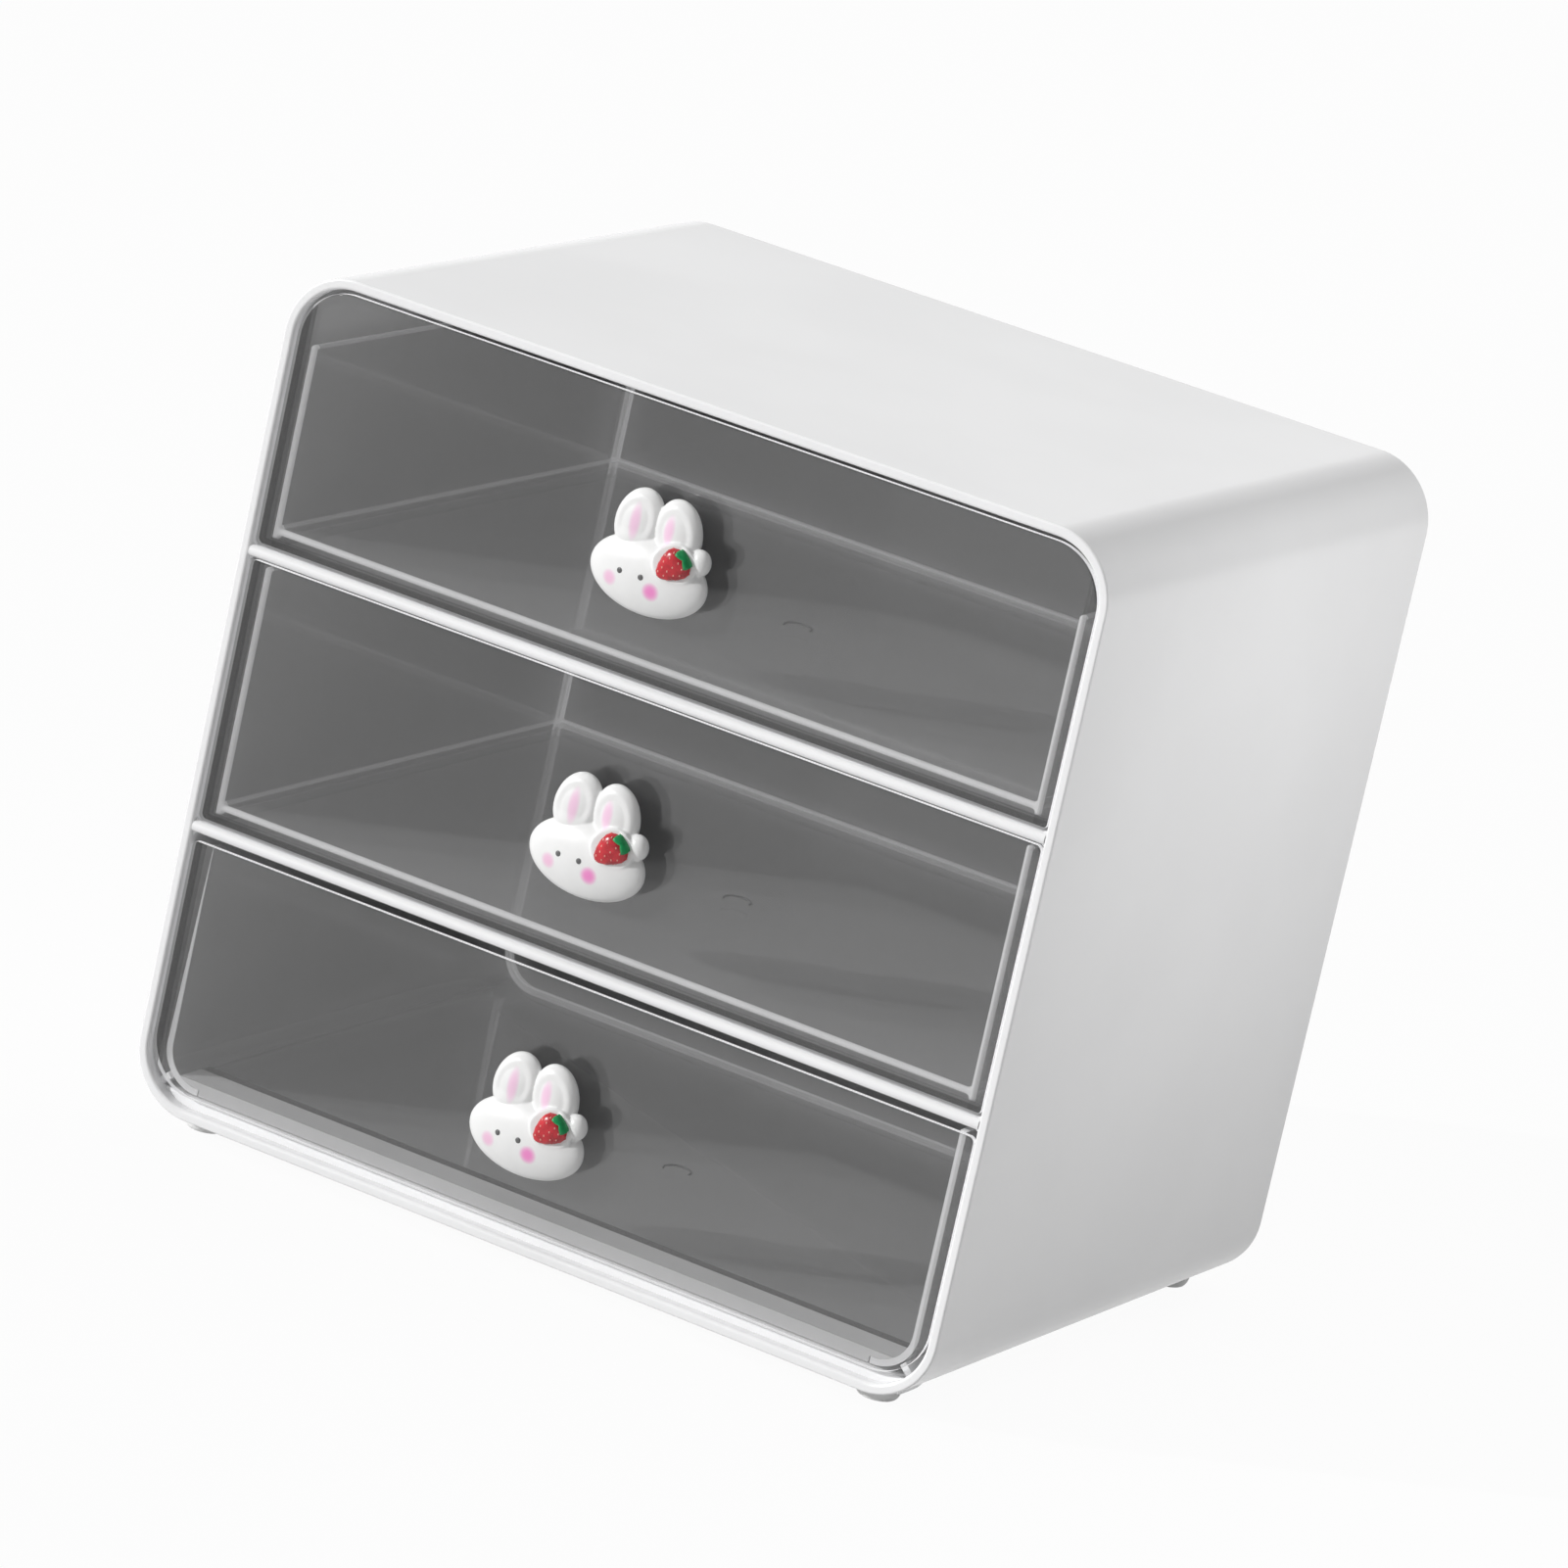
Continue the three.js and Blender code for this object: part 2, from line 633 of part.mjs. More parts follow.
const group = new THREE.Group();
group.add(
  part('case_shell', caseShell(), whitePlastic),
  part('back_panel', backPanel(), whitePlastic),
  part('lower_shelf', shelf(lowerFloor + lowerOpening), shelfPlastic),
  part('upper_shelf', shelf(middleFloor + middleOpening), shelfPlastic),
);
const footX = caseWidth / 2 - footInsetSide;
const footY = caseDepth / 2 - footInsetFront;
for (const [name, x, y] of [
  ['foot_front_left', -footX, -footY], ['foot_front_right', footX, -footY],
  ['foot_rear_left', -footX, footY], ['foot_rear_right', footX, footY],
]) {
  group.add(part(name, foot(x, y), footRubber));
}
for (const level of levels) {
  group.add(drawer(level));
}

// The origin is the middle of the whole outline on the surface that the feet stand on.
group.updateMatrixWorld(true);
const extent = new THREE.Box3().setFromObject(group, true);
group.position.set(0, -(extent.min.y + extent.max.y) / 2, footHeight);

export default group;
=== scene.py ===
# Desktop organiser: white case, three smoky drawers, rabbit knobs with a strawberry.
import json
import math

import bmesh
import bpy
from mathutils import Matrix, Vector


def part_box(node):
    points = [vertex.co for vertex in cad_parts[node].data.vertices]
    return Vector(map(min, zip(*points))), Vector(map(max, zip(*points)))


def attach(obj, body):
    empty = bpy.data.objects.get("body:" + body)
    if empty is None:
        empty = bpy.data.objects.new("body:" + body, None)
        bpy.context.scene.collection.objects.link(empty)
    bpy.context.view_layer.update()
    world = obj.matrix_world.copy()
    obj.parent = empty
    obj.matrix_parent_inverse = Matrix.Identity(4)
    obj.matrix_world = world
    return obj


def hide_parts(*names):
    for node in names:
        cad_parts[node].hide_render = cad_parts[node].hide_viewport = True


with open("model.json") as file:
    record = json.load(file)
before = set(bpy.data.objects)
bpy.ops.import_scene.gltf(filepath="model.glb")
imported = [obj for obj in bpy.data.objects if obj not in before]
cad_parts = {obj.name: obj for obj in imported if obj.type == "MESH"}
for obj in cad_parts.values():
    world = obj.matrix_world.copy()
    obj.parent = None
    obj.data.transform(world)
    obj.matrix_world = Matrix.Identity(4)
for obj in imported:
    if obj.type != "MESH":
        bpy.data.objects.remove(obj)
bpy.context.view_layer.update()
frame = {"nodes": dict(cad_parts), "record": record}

mm = 0.001
tiny = 1e-7
levels = ["lower", "middle", "upper"]
scene = bpy.context.scene


# Shader maths as plain expressions: a Val is a number socket, and its operators add Math nodes.
class Val:
    def __init__(self, maker, socket):
        self.maker = maker
        self.socket = socket

    def math(self, operation, first, second=None):
        values = {0: first} if second is None else {0: first, 1: second}
        return self.maker.add("ShaderNodeMath", {"operation": operation}, values)

    def __add__(self, other): return self.math("ADD", self, other)
    def __radd__(self, other): return self.math("ADD", other, self)
    def __sub__(self, other): return self.math("SUBTRACT", self, other)
    def __rsub__(self, other): return self.math("SUBTRACT", other, self)
    def __mul__(self, other): return self.math("MULTIPLY", self, other)
    def __rmul__(self, other): return self.math("MULTIPLY", other, self)
    def __truediv__(self, other): return self.math("DIVIDE", self, other)
    def __pow__(self, other): return self.math("POWER", self, other)
    def __neg__(self): return self.math("MULTIPLY", self, -1.0)
    def larger(self, other): return self.math("MAXIMUM", self, other)
    def smaller(self, other): return self.math("MINIMUM", self, other)

    def smooth(self, start, end):        # 0 before start, 1 after end
        return self.maker.add("ShaderNodeMapRange", {"interpolation_type": "SMOOTHSTEP"},
                              {"Value": self, "From Min": start, "From Max": end})


class Maker:        # builds one node tree
    def __init__(self, tree):
        self.tree = tree
        tree.nodes.clear()

    def node(self, kind, settings=None, values=None):
        made = self.tree.nodes.new(kind)
        for name, value in (settings or {}).items():
            setattr(made, name, value)
        for name, value in (values or {}).items():
            source = value.socket if isinstance(value, Val) else value
            if isinstance(source, bpy.types.NodeSocket):
                self.tree.links.new(source, made.inputs[name])
            else:
                made.inputs[name].default_value = source
        return made

    def add(self, kind, settings=None, values=None, output=0):
        return Val(self, self.node(kind, settings, values).outputs[output])

    def noise(self, coords, scale, detail=2.0):
        return self.add("ShaderNodeTexNoise", {}, {"Vector": coords, "Scale": scale, "Detail": detail})

    def mixColour(self, share, first, second):
        mixed = self.node("ShaderNodeMix", {"data_type": "RGBA"})
        for index, value in ((0, share), (6, first), (7, second)):
            source = value.socket if isinstance(value, Val) else value
            if isinstance(source, bpy.types.NodeSocket):
                self.tree.links.new(source, mixed.inputs[index])
            else:
                mixed.inputs[index].default_value = source if index == 0 else (*source, 1)
        return Val(self, mixed.outputs[2])

    def coords(self, centre=(0, 0, 0)):
        place = self.add("ShaderNodeTexCoord", output="Object")
        if not any(centre):
            return place
        return self.add("ShaderNodeMapping", {"vector_type": "POINT"},
                        {"Vector": place, "Location": [-c for c in centre]})

    def split(self, vector):
        parts = self.node("ShaderNodeSeparateXYZ", {}, {0: vector})
        return [Val(self, socket) for socket in parts.outputs]

    def bump(self, height, distance):
        return self.add("ShaderNodeBump", {}, {"Height": height, "Distance": distance})

    def surface(self, shader):
        output = self.node("ShaderNodeOutputMaterial")
        self.tree.links.new(shader.socket, output.inputs["Surface"])


def newMaterial(name):
    material = bpy.data.materials.new(name)
    material.use_nodes = True
    return material, Maker(material.node_tree)


# Finishes
plasticIor = 1.5
patchEdges = (0.35, 0.65)        # noise levels between which one shade turns into the other
plainEdges = (0.3, 0.7)
# the dark line colour and the dim front colour are a painted shadow and a painted shade, used only on the ledge
caseFinish = {"colour": (0.86, 0.86, 0.865), "shade": (0.84, 0.84, 0.845), "roughness": 0.2,
              "roughnessSpread": 0.08, "patch": 18, "grain": 900, "grainHeight": 0.004 * mm,
              "paintedShadowLine": (0.08, 0.08, 0.08), "paintedShadeFront": (0.6, 0.6, 0.605), "faceBlur": 0.3 * mm}


def caseMaterial(name, finish, face=None):        # face: along Y, where a painted shade on the front face ends and a painted shadow line along the rear edge starts
    material, make = newMaterial(name)
    place = make.coords()
    patches = make.noise(place, finish["patch"], 3)
    grain = make.noise(place, finish["grain"], 2)
    colour = make.mixColour(patches.smooth(*patchEdges), finish["colour"], finish["shade"])
    if face:
        ahead, blur = make.split(place)[1], finish["faceBlur"]
        # painted shade dims the front face, and a painted shadow line darkens the rear edge
        colour = make.mixColour(ahead.smooth(face[0], face[0] + blur), finish["paintedShadeFront"], colour)
        colour = make.mixColour(ahead.smooth(face[1], face[1] + blur), colour, finish["paintedShadowLine"])
    make.surface(make.add("ShaderNodeBsdfPrincipled", {}, {
        "Base Color": colour,
        "Roughness": finish["roughness"] + finish["roughnessSpread"] * patches,
        "Normal": make.bump(grain, finish["grainHeight"]),
        "IOR": plasticIor,
    }))
    return material


# the darker tint for a plate's margin is painted shade
plateFinish = {"tint": 0.91, "milk": 0.02, "milkSpread": 0.2, "milkColour": (0.75, 0.75, 0.755),
               "mirrorHeadOn": 0.05, "mirrorPower": 5.0, "roughness": 0.02, "roughnessSpread": 0.03, "patch": 30,
               "paintedShadeTint": 0.42, "paintedShadeBlur": 0.4 * mm, "paintedShadeRightShare": 0.35}
trayFinish = {**plateFinish, "tint": 0.9, "milk": 0.23}
edgeFinish = {"through": (0.85, 0.85, 0.86), "roughness": 0.3, "roughnessSpread": 0.2, "shadeShare": 0.85,
              "patch": 90}
# glow is a painted glow, an emission standing in for light piped through the plastic to its edges
plateEdgeFinish = {**edgeFinish, "colour": (0.86, 0.86, 0.87), "glow": 0.45, "share": 0.95}
trayEdgeFinish = {**edgeFinish, "colour": (0.8, 0.8, 0.81), "glow": 0.3, "share": 0.75, "sideShare": 0.3,
                  "seamWall": 1.8 * mm, "seamPaintedGlow": 0.4, "seamShare": 0.7, "blur": 0.15 * mm, "fade": 1.5 * mm}


def palePlasticPaintedGlow(make, finish, patches, glow):        # pale edge colour plus a painted glow: emission standing in for the light that runs inside the plastic and leaves at its edges
    colour = make.mixColour(patches, finish["colour"], [c * finish["shadeShare"] for c in finish["colour"]])
    return make.add("ShaderNodeBsdfPrincipled", {}, {
        "Base Color": colour, "Roughness": finish["roughness"] + finish["roughnessSpread"] * patches,
        "Emission Color": colour, "Emission Strength": glow})


def seeThrough(make, colour):
    return make.add("ShaderNodeBsdfTransparent", {}, {"Color": (*colour, 1)})


# A face darkens what shows through it, scatters and mirrors a little. A plate has painted shade left of its tray and
# below it, and a little at its right, standing in for the dark gap behind it; a tray is pale, with a painted glow,
# where its rear wall meets its sides and its floor.
def smokyMaterial(name, finish, low, high, edges=None, corner=2 * mm):
    material, make = newMaterial(name)
    place = make.coords()
    patches = make.noise(place, finish["patch"], 2)
    turned = make.add("ShaderNodeLayerWeight", {}, {"Blend": 0.5}, output="Facing")
    mirror = finish["mirrorHeadOn"] + (1 - finish["mirrorHeadOn"]) * turned ** finish["mirrorPower"]
    across, ahead, up = make.split(place)
    through = seeThrough(make, [finish["tint"]] * 3)
    if not edges:
        # painted shade: the margin left of and below the tray, and a little at its right, is darkened to stand in for
        # the dark gap behind the plate
        blur = finish["paintedShadeBlur"]
        paintedShadeMask = (low.x - across).larger(low.z - trayEdgeFinish["fade"] / 2 - up).smooth(0, blur)
        paintedShadeMask = paintedShadeMask.larger((across - high.x).smooth(0, blur) * finish["paintedShadeRightShare"])
        dim = seeThrough(make, [finish["paintedShadeTint"]] * 3)
        through = make.add("ShaderNodeMixShader", {}, {0: paintedShadeMask, 1: through, 2: dim})
    cloud = make.add("ShaderNodeBsdfDiffuse", {}, {"Color": (*finish["milkColour"], 1)})
    milk = finish["milk"] * (1 + finish["milkSpread"] * (2 * patches - 1))
    body = make.add("ShaderNodeMixShader", {}, {0: milk, 1: through, 2: cloud})
    if edges:
        wall, blur = edges["seamWall"], edges["blur"]
        outside = (low.x - across).larger(across - high.x) + corner
        below = low.z - up + corner
        within = corner - (outside.larger(0) ** 2 + below.larger(0) ** 2) ** 0.5
        seam = (wall - within).smaller(ahead - high.y + wall).smooth(-blur, blur)
        # pale seam colour with a painted glow
        pale = palePlasticPaintedGlow(make, edges, patches, edges["seamPaintedGlow"])
        body = make.add("ShaderNodeMixShader", {}, {0: seam * edges["seamShare"], 1: body, 2: pale})
    gloss = make.add("ShaderNodeBsdfAnisotropic", {}, {
        "Color": (1, 1, 1, 1), "Roughness": finish["roughness"] + finish["roughnessSpread"] * patches})
    make.surface(make.add("ShaderNodeMixShader", {}, {0: mirror, 1: body, 2: gloss}))
    return material


def edgeMaterial(name, finish, low=None, high=None):
    material, make = newMaterial(name)
    place = make.coords()
    patches = make.noise(place, finish["patch"], 3)
    through = seeThrough(make, finish["through"])
    share = finish["share"]
    if low is not None:        # fainter along the sides, and clear on the skirts below the floor
        _, ahead, up = make.split(place)
        wall, blur = finish["seamWall"], finish["blur"]
        atEnds = (low.y + wall - ahead).larger(ahead - high.y + wall).smooth(-blur, blur)
        share = finish["sideShare"] + (share - finish["sideShare"]) * atEnds
        share = share * up.smooth(low.z - finish["fade"], low.z - 2 * blur)
    # pale edge colour with a painted glow
    pale = palePlasticPaintedGlow(make, finish, patches, finish["glow"])
    make.surface(make.add("ShaderNodeMixShader", {}, {0: share, 1: through, 2: pale}))
    return material


def plainMaterial(name, colour, roughness, metallic=0.0, patch=300, spread=0.12, height=0.01 * mm):
    material, make = newMaterial(name)
    patches = make.noise(make.coords(), patch, 3)
    darker = [c * (1 - spread) for c in colour]
    make.surface(make.add("ShaderNodeBsdfPrincipled", {}, {
        "Base Color": make.mixColour(patches.smooth(*plainEdges), colour, darker),
        "Roughness": roughness * (1 - spread) + roughness * spread * 2 * patches,
        "Metallic": metallic, "IOR": plasticIor,
        "Normal": make.bump(patches, height)}))
    return material


casePlastic = caseMaterial("case plastic", caseFinish)
plateEdge = edgeMaterial("pale plate edge", plateEdgeFinish)
footRubber = plainMaterial("foot rubber", (0.9, 0.9, 0.895), 0.45, spread=0.05)
screwSteel = plainMaterial("screw steel", (0.56, 0.56, 0.58), 0.28, metallic=1.0, patch=1500, height=0.004 * mm)
print("finishes made")


# Mesh helpers
cleaning = {"weld": 0.002 * mm, "flatAngle": 0.5}


def makeObject(name, mesh, *materials):
    made = bpy.data.objects.new(name, mesh)
    scene.collection.objects.link(made)
    for material in materials:
        mesh.materials.append(material)
    return made


def meshFrom(name, verts, faces):
    mesh = bpy.data.meshes.new(name)
    mesh.from_pydata([tuple(v) for v in verts], [], faces)
    mesh.update()
    return mesh


def cleanCopy(node, name, *materials):        # the CAD node's mesh, merged, with its flat faces whole
    build = bmesh.new()
    build.from_mesh(frame["nodes"][node].data)
    bmesh.ops.remove_doubles(build, verts=build.verts, dist=cleaning["weld"])
    bmesh.ops.dissolve_limit(build, angle_limit=math.radians(cleaning["flatAngle"]), verts=build.verts,
                             edges=build.edges)
    return makeObject(name, meshOf(name, build), *materials)


def soften(piece, width, segments=3, angle=35, slot=-1):        # rounds the sharp edges and smooths the rest
    bevel = piece.modifiers.new("rounded edges", "BEVEL")
    bevel.material = slot
    bevel.width = width
    bevel.segments = segments
    bevel.limit_method = "ANGLE"
    bevel.angle_limit = math.radians(angle)
    bevel.miter_outer = "MITER_ARC"
    shadeByAngle(piece, angle)


def shadeByAngle(piece, angle=35):
    for face in piece.data.polygons:
        face.use_smooth = True
    piece.data.update()
    weighted = piece.modifiers.new("shading", "WEIGHTED_NORMAL")
    weighted.keep_sharp = True
    weighted.weight = 100


def faceOutwards(mesh):
    build = bmesh.new()
    build.from_mesh(mesh)
    bmesh.ops.remove_doubles(build, verts=build.verts, dist=tiny)
    bmesh.ops.recalc_face_normals(build, faces=build.faces)
    build.to_mesh(mesh)
    build.free()


def lathe(profile, steps, axis=1):        # closed mesh of a profile in radius and height, turned about Y or Z
    build = bmesh.new()
    rings = []
    for radius, height in profile:
        ring = []
        for k in range(steps if radius > tiny else 1):
            point = [radius * math.cos(math.tau * k / steps), radius * math.sin(math.tau * k / steps)]
            point.insert(axis, height)
            ring.append(build.verts.new(point))
        rings.append(ring)
    for first, second in zip(rings, rings[1:]):
        for k in range(steps):
            corners = [first[k % len(first)], first[(k + 1) % len(first)],
                       second[(k + 1) % len(second)], second[k % len(second)]]
            build.faces.new(list(dict.fromkeys(corners)))
    bmesh.ops.remove_doubles(build, verts=build.verts, dist=tiny)
    bmesh.ops.recalc_face_normals(build, faces=build.faces)
    return build


def meshOf(name, build):
    mesh = bpy.data.meshes.new(name)
    build.to_mesh(mesh)
    build.free()
    return mesh


def baked(piece):        # modifiers made real, as one plain mesh
    graph = bpy.context.evaluated_depsgraph_get()
    graph.update()
    mesh = bpy.data.meshes.new_from_object(piece.evaluated_get(graph))
    piece.modifiers.clear()
    old = piece.data
    piece.data = mesh
    mesh.name = piece.name
    bpy.data.meshes.remove(old)
    return piece


def finishPiece(piece, body, slotName, *nodes):
    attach(piece, body)
    if nodes:
        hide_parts(*nodes)


# Camera, floor and lights
camera = {"place": (1022.04, -2034.24, 735.61), "right": (0.8463, 0.4896, 0.21),
          "down": (0.3104, -0.1328, -0.9413), "forward": (-0.433, 0.8618, -0.2643), "lens": 213.3,
          "sensor": 36, "clip": (0.05, 50)}


def makeCamera(setup):
    shellLow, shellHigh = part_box("case_shell")
    offset = Vector((0, (shellLow.y + shellHigh.y) / 2, shellLow.z))
    right, down, forward = (Vector(setup[k]).normalized() for k in ("right", "down", "forward"))
    data = bpy.data.cameras.new("photo camera")
    data.lens = setup["lens"]
    data.sensor_width = setup["sensor"]
    data.clip_start, data.clip_end = setup["clip"]
    made = bpy.data.objects.new("photo camera", data)
    scene.collection.objects.link(made)
    turned = Matrix((right, -down, -forward)).transposed()
    made.matrix_world = Matrix.Translation(Vector(setup["place"]) * mm + offset) @ turned.to_4x4()
    scene.camera = made


light = {"keyAzimuth": -45, "keyHeight": 20, "keyStrength": 2.4, "keyAngle": 0.8,
         "horizon": 1.05, "sky": 0.38, "zenith": 1.27, "frontShare": 0.6, "sideShare": 0.13,
         "skyFrom": (0.25, 0.5), "zenithFrom": (0.6, 1.0), "dimFrom": (0.1, 0.7), "floorHalf": 12,
         "lampPlace": (0.32, 0.03, 0.22), "lampSize": 0.16, "lampPower": 0.235,
         "floorColour": (0.66, 0.66, 0.66), "background": 1.0, "floorGlow": 0.95}


def seenRays(make):        # 1 for what the camera sees, straight, mirrored or through glass
    path = make.node("ShaderNodeLightPath")
    straight, mirrored, through = (Val(make, path.outputs[k]) for k in (
        "Is Camera Ray", "Is Glossy Ray", "Is Transmission Ray"))
    return straight, straight.larger(mirrored).larger(through)


def makeStage(setup):
    half = setup["floorHalf"]
    mesh = meshFrom("floor", [(-half, -half, 0), (half, -half, 0), (half, half, 0), (-half, half, 0)], [(0, 1, 2, 3)])
    material, make = newMaterial("studio floor")
    _, seen = seenRays(make)
    matte = make.add("ShaderNodeBsdfDiffuse", {}, {"Color": (*setup["floorColour"], 1)})
    white = make.add("ShaderNodeEmission", {}, {"Color": (1, 1, 1, 1), "Strength": setup["background"]})
    make.surface(make.add("ShaderNodeMixShader", {}, {0: seen * setup["floorGlow"], 1: matte, 2: white}))
    floor = makeObject("floor", mesh, material)

    world = bpy.data.worlds.new("studio")
    scene.world = world
    world.use_nodes = True
    make = Maker(world.node_tree)
    straight, seen = seenRays(make)
    across, ahead, up = make.split(make.add("ShaderNodeTexCoord", output="Generated"))
    glow = setup["horizon"] + (setup["sky"] - setup["horizon"]) * up.smooth(*setup["skyFrom"])
    glow = glow + (setup["zenith"] - setup["sky"]) * up.smooth(*setup["zenithFrom"])
    # dimmer behind the camera and to the right
    glow = glow * (1 - (1 - setup["frontShare"]) * (-ahead).smooth(*setup["dimFrom"]))
    glow = glow * (1 - (1 - setup["sideShare"]) * across.smooth(*setup["dimFrom"]))
    strength = straight * setup["background"] + (1 - straight) * glow
    sky = make.add("ShaderNodeBackground", {}, {"Color": (1, 1, 1, 1), "Strength": strength})
    output = make.node("ShaderNodeOutputWorld")
    make.tree.links.new(sky.socket, output.inputs["Surface"])

    sun = bpy.data.lights.new("key", "SUN")
    sun.energy = setup["keyStrength"]
    sun.angle = math.radians(setup["keyAngle"])
    key = bpy.data.objects.new("key", sun)
    scene.collection.objects.link(key)
    around, above = math.radians(setup["keyAzimuth"]), math.radians(setup["keyHeight"])
    toLight = Vector((math.sin(around) * math.cos(above), -math.cos(around) * math.cos(above), math.sin(above)))
    key.rotation_mode = "QUATERNION"
    key.rotation_quaternion = toLight.to_track_quat("Z", "Y")

    panel = bpy.data.lights.new("side panel", "AREA")        # lights the upper half of the right side
    panel.size, panel.energy = setup["lampSize"], setup["lampPower"]
    lamp = bpy.data.objects.new("side panel", panel)
    scene.collection.objects.link(lamp)
    lamp.location = setup["lampPlace"]
    lamp.rotation_mode = "QUATERNION"
    lamp.rotation_quaternion = Vector((1, 0, 0)).to_track_quat("Z", "Y")


makeCamera(camera)
makeStage(light)
print("camera and studio ready")


# Case: the wall's section swept round a filleted rectangle by a node tree
case = {"wall": 2.7 * mm, "corner": 17.6 * mm, "cornerSteps": 24, "rimSteps": 12, "rimOuter": 0.6 * mm,
        "rimInner": 0.9 * mm, "rearBevel": 1.2 * mm, "creaseRound": 0.5 * mm, "dividerRound": 1.1 * mm}


def wallSection(setup, front, rear):        # closed profile of (depth into the wall, place from front to rear)
    wall, outer, inner, bevel = (setup[k] for k in ("wall", "rimOuter", "rimInner", "rearBevel"))
    bevelSteps = setup["rimSteps"] // 2
    points = []
    for radius, centre, side in ((outer, outer, 1), (inner, wall - inner, -1)):
        for step in range(bevelSteps + 1):
            angle = math.pi / 2 * (step if side > 0 else bevelSteps - step) / bevelSteps
            points.append((centre - side * radius * math.cos(angle), front + radius - radius * math.sin(angle)))
    points.append((wall, rear))
    for step in range(bevelSteps + 1):
        angle = math.pi / 2 * (1 - step / bevelSteps)
        points.append((bevel - bevel * math.cos(angle), rear - bevel + bevel * math.sin(angle)))
    return points


def sweepTree():
    tree = bpy.data.node_groups.new("swept wall", "GeometryNodeTree")
    face = tree.interface
    for name, kind in (("Width", "Float"), ("Height", "Float"), ("Centre Height", "Float"),
                       ("Corner Radius", "Float"), ("Corner Steps", "Int"), ("Section", "Object"),
                       ("Material", "Material")):
        face.new_socket(name, in_out="INPUT", socket_type="NodeSocket" + kind)
    face.new_socket("Geometry", in_out="OUTPUT", socket_type="NodeSocketGeometry")
    make = Maker(tree)
    given = {s.name: s for s in make.node("NodeGroupInput").outputs}
    outline = make.node("GeometryNodeCurvePrimitiveQuadrilateral", {"mode": "RECTANGLE"},
                        {"Width": given["Width"], "Height": given["Height"]})
    rounded = make.node("GeometryNodeFilletCurve", {"mode": "POLY"}, {
        "Curve": outline.outputs[0], "Radius": given["Corner Radius"], "Count": given["Corner Steps"]})
    flat = make.node("GeometryNodeSetCurveNormal", {"mode": "Z_UP"}, {"Curve": rounded.outputs[0]})
    section = make.node("GeometryNodeObjectInfo", {}, {"Object": given["Section"]})
    swept = make.node("GeometryNodeCurveToMesh", {}, {
        "Curve": flat.outputs[0], "Profile Curve": section.outputs["Geometry"], "Fill Caps": False})
    raised = make.node("ShaderNodeCombineXYZ", {}, {2: given["Centre Height"]})
    upright = make.node("GeometryNodeTransform", {}, {
        "Geometry": swept.outputs[0], "Translation": raised.outputs[0], "Rotation": (math.pi / 2, 0, 0)})
    real = make.node("GeometryNodeRealizeInstances", {}, {0: upright.outputs[0]})
    dressed = make.node("GeometryNodeSetMaterial", {}, {"Geometry": real.outputs[0], "Material": given["Material"]})
    out = make.node("NodeGroupOutput")
    tree.links.new(dressed.outputs[0], out.inputs[0])
    return tree


def applyTree(piece, tree, inputs):
    modifier = piece.modifiers.new(tree.name, "NODES")
    modifier.node_group = tree
    for item in tree.interface.items_tree:
        if item.item_type == "SOCKET" and item.in_out == "INPUT" and item.name in inputs:
            modifier[item.identifier] = inputs[item.name]
    return baked(piece)


def makeCase(setup):
    low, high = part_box("case_shell")
    profile = bpy.data.curves.new("wall section", "CURVE")
    profile.dimensions = "3D"
    points = wallSection(setup, low.y, high.y)
    spline = profile.splines.new("POLY")
    spline.points.add(len(points) - 1)
    for point, (inset, y) in zip(spline.points, points):
        point.co = (-inset, y, 0, 1)
    spline.use_cyclic_u = True
    section = bpy.data.objects.new("wallSection", profile)
    scene.collection.objects.link(section)
    body = makeObject("caseBody", bpy.data.meshes.new("caseBody"))
    applyTree(body, sweepTree(), {
        "Width": high.x - low.x, "Height": high.z - low.z, "Centre Height": (low.z + high.z) / 2,
        "Corner Radius": setup["corner"], "Corner Steps": setup["cornerSteps"], "Section": section,
        "Material": casePlastic})
    bpy.data.objects.remove(section)
    faceOutwards(body.data)
    shadeByAngle(body, angle=50)
    finishPiece(body, "case", "white_plastic", "case_shell")


def makeBack(setup):
    panel = cleanCopy("back_panel", "backCover", casePlastic)
    soften(panel, setup["creaseRound"])
    finishPiece(panel, "case", "white_plastic", "back_panel")


def makeDividers(setup):
    for name in ("lower", "upper"):
        divider = cleanCopy(name + "_shelf", name + "Divider", casePlastic)
        soften(divider, setup["dividerRound"], segments=4, angle=60)
        finishPiece(divider, "case", "white_plastic", name + "_shelf")


makeCase(case)
makeBack(case)
makeDividers(case)
print("case made")


# Raised sill and corner runners on the floor of the case
sill = {"depth": 27 * mm, "endInset": 8.2 * mm, "corner": 20 * mm, "cornerSteps": 12, "sunk": 1.3 * mm,
        "top": 3.3 * mm, "gapToPlate": 0.5 * mm, "edgeRound": 0.8 * mm,
        "runnerWidth": 2 * mm, "runnerCentre": (101 * mm, 14.8 * mm), "runnerFrom": 11.3 * mm,
        "runnerTo": 15.6 * mm}


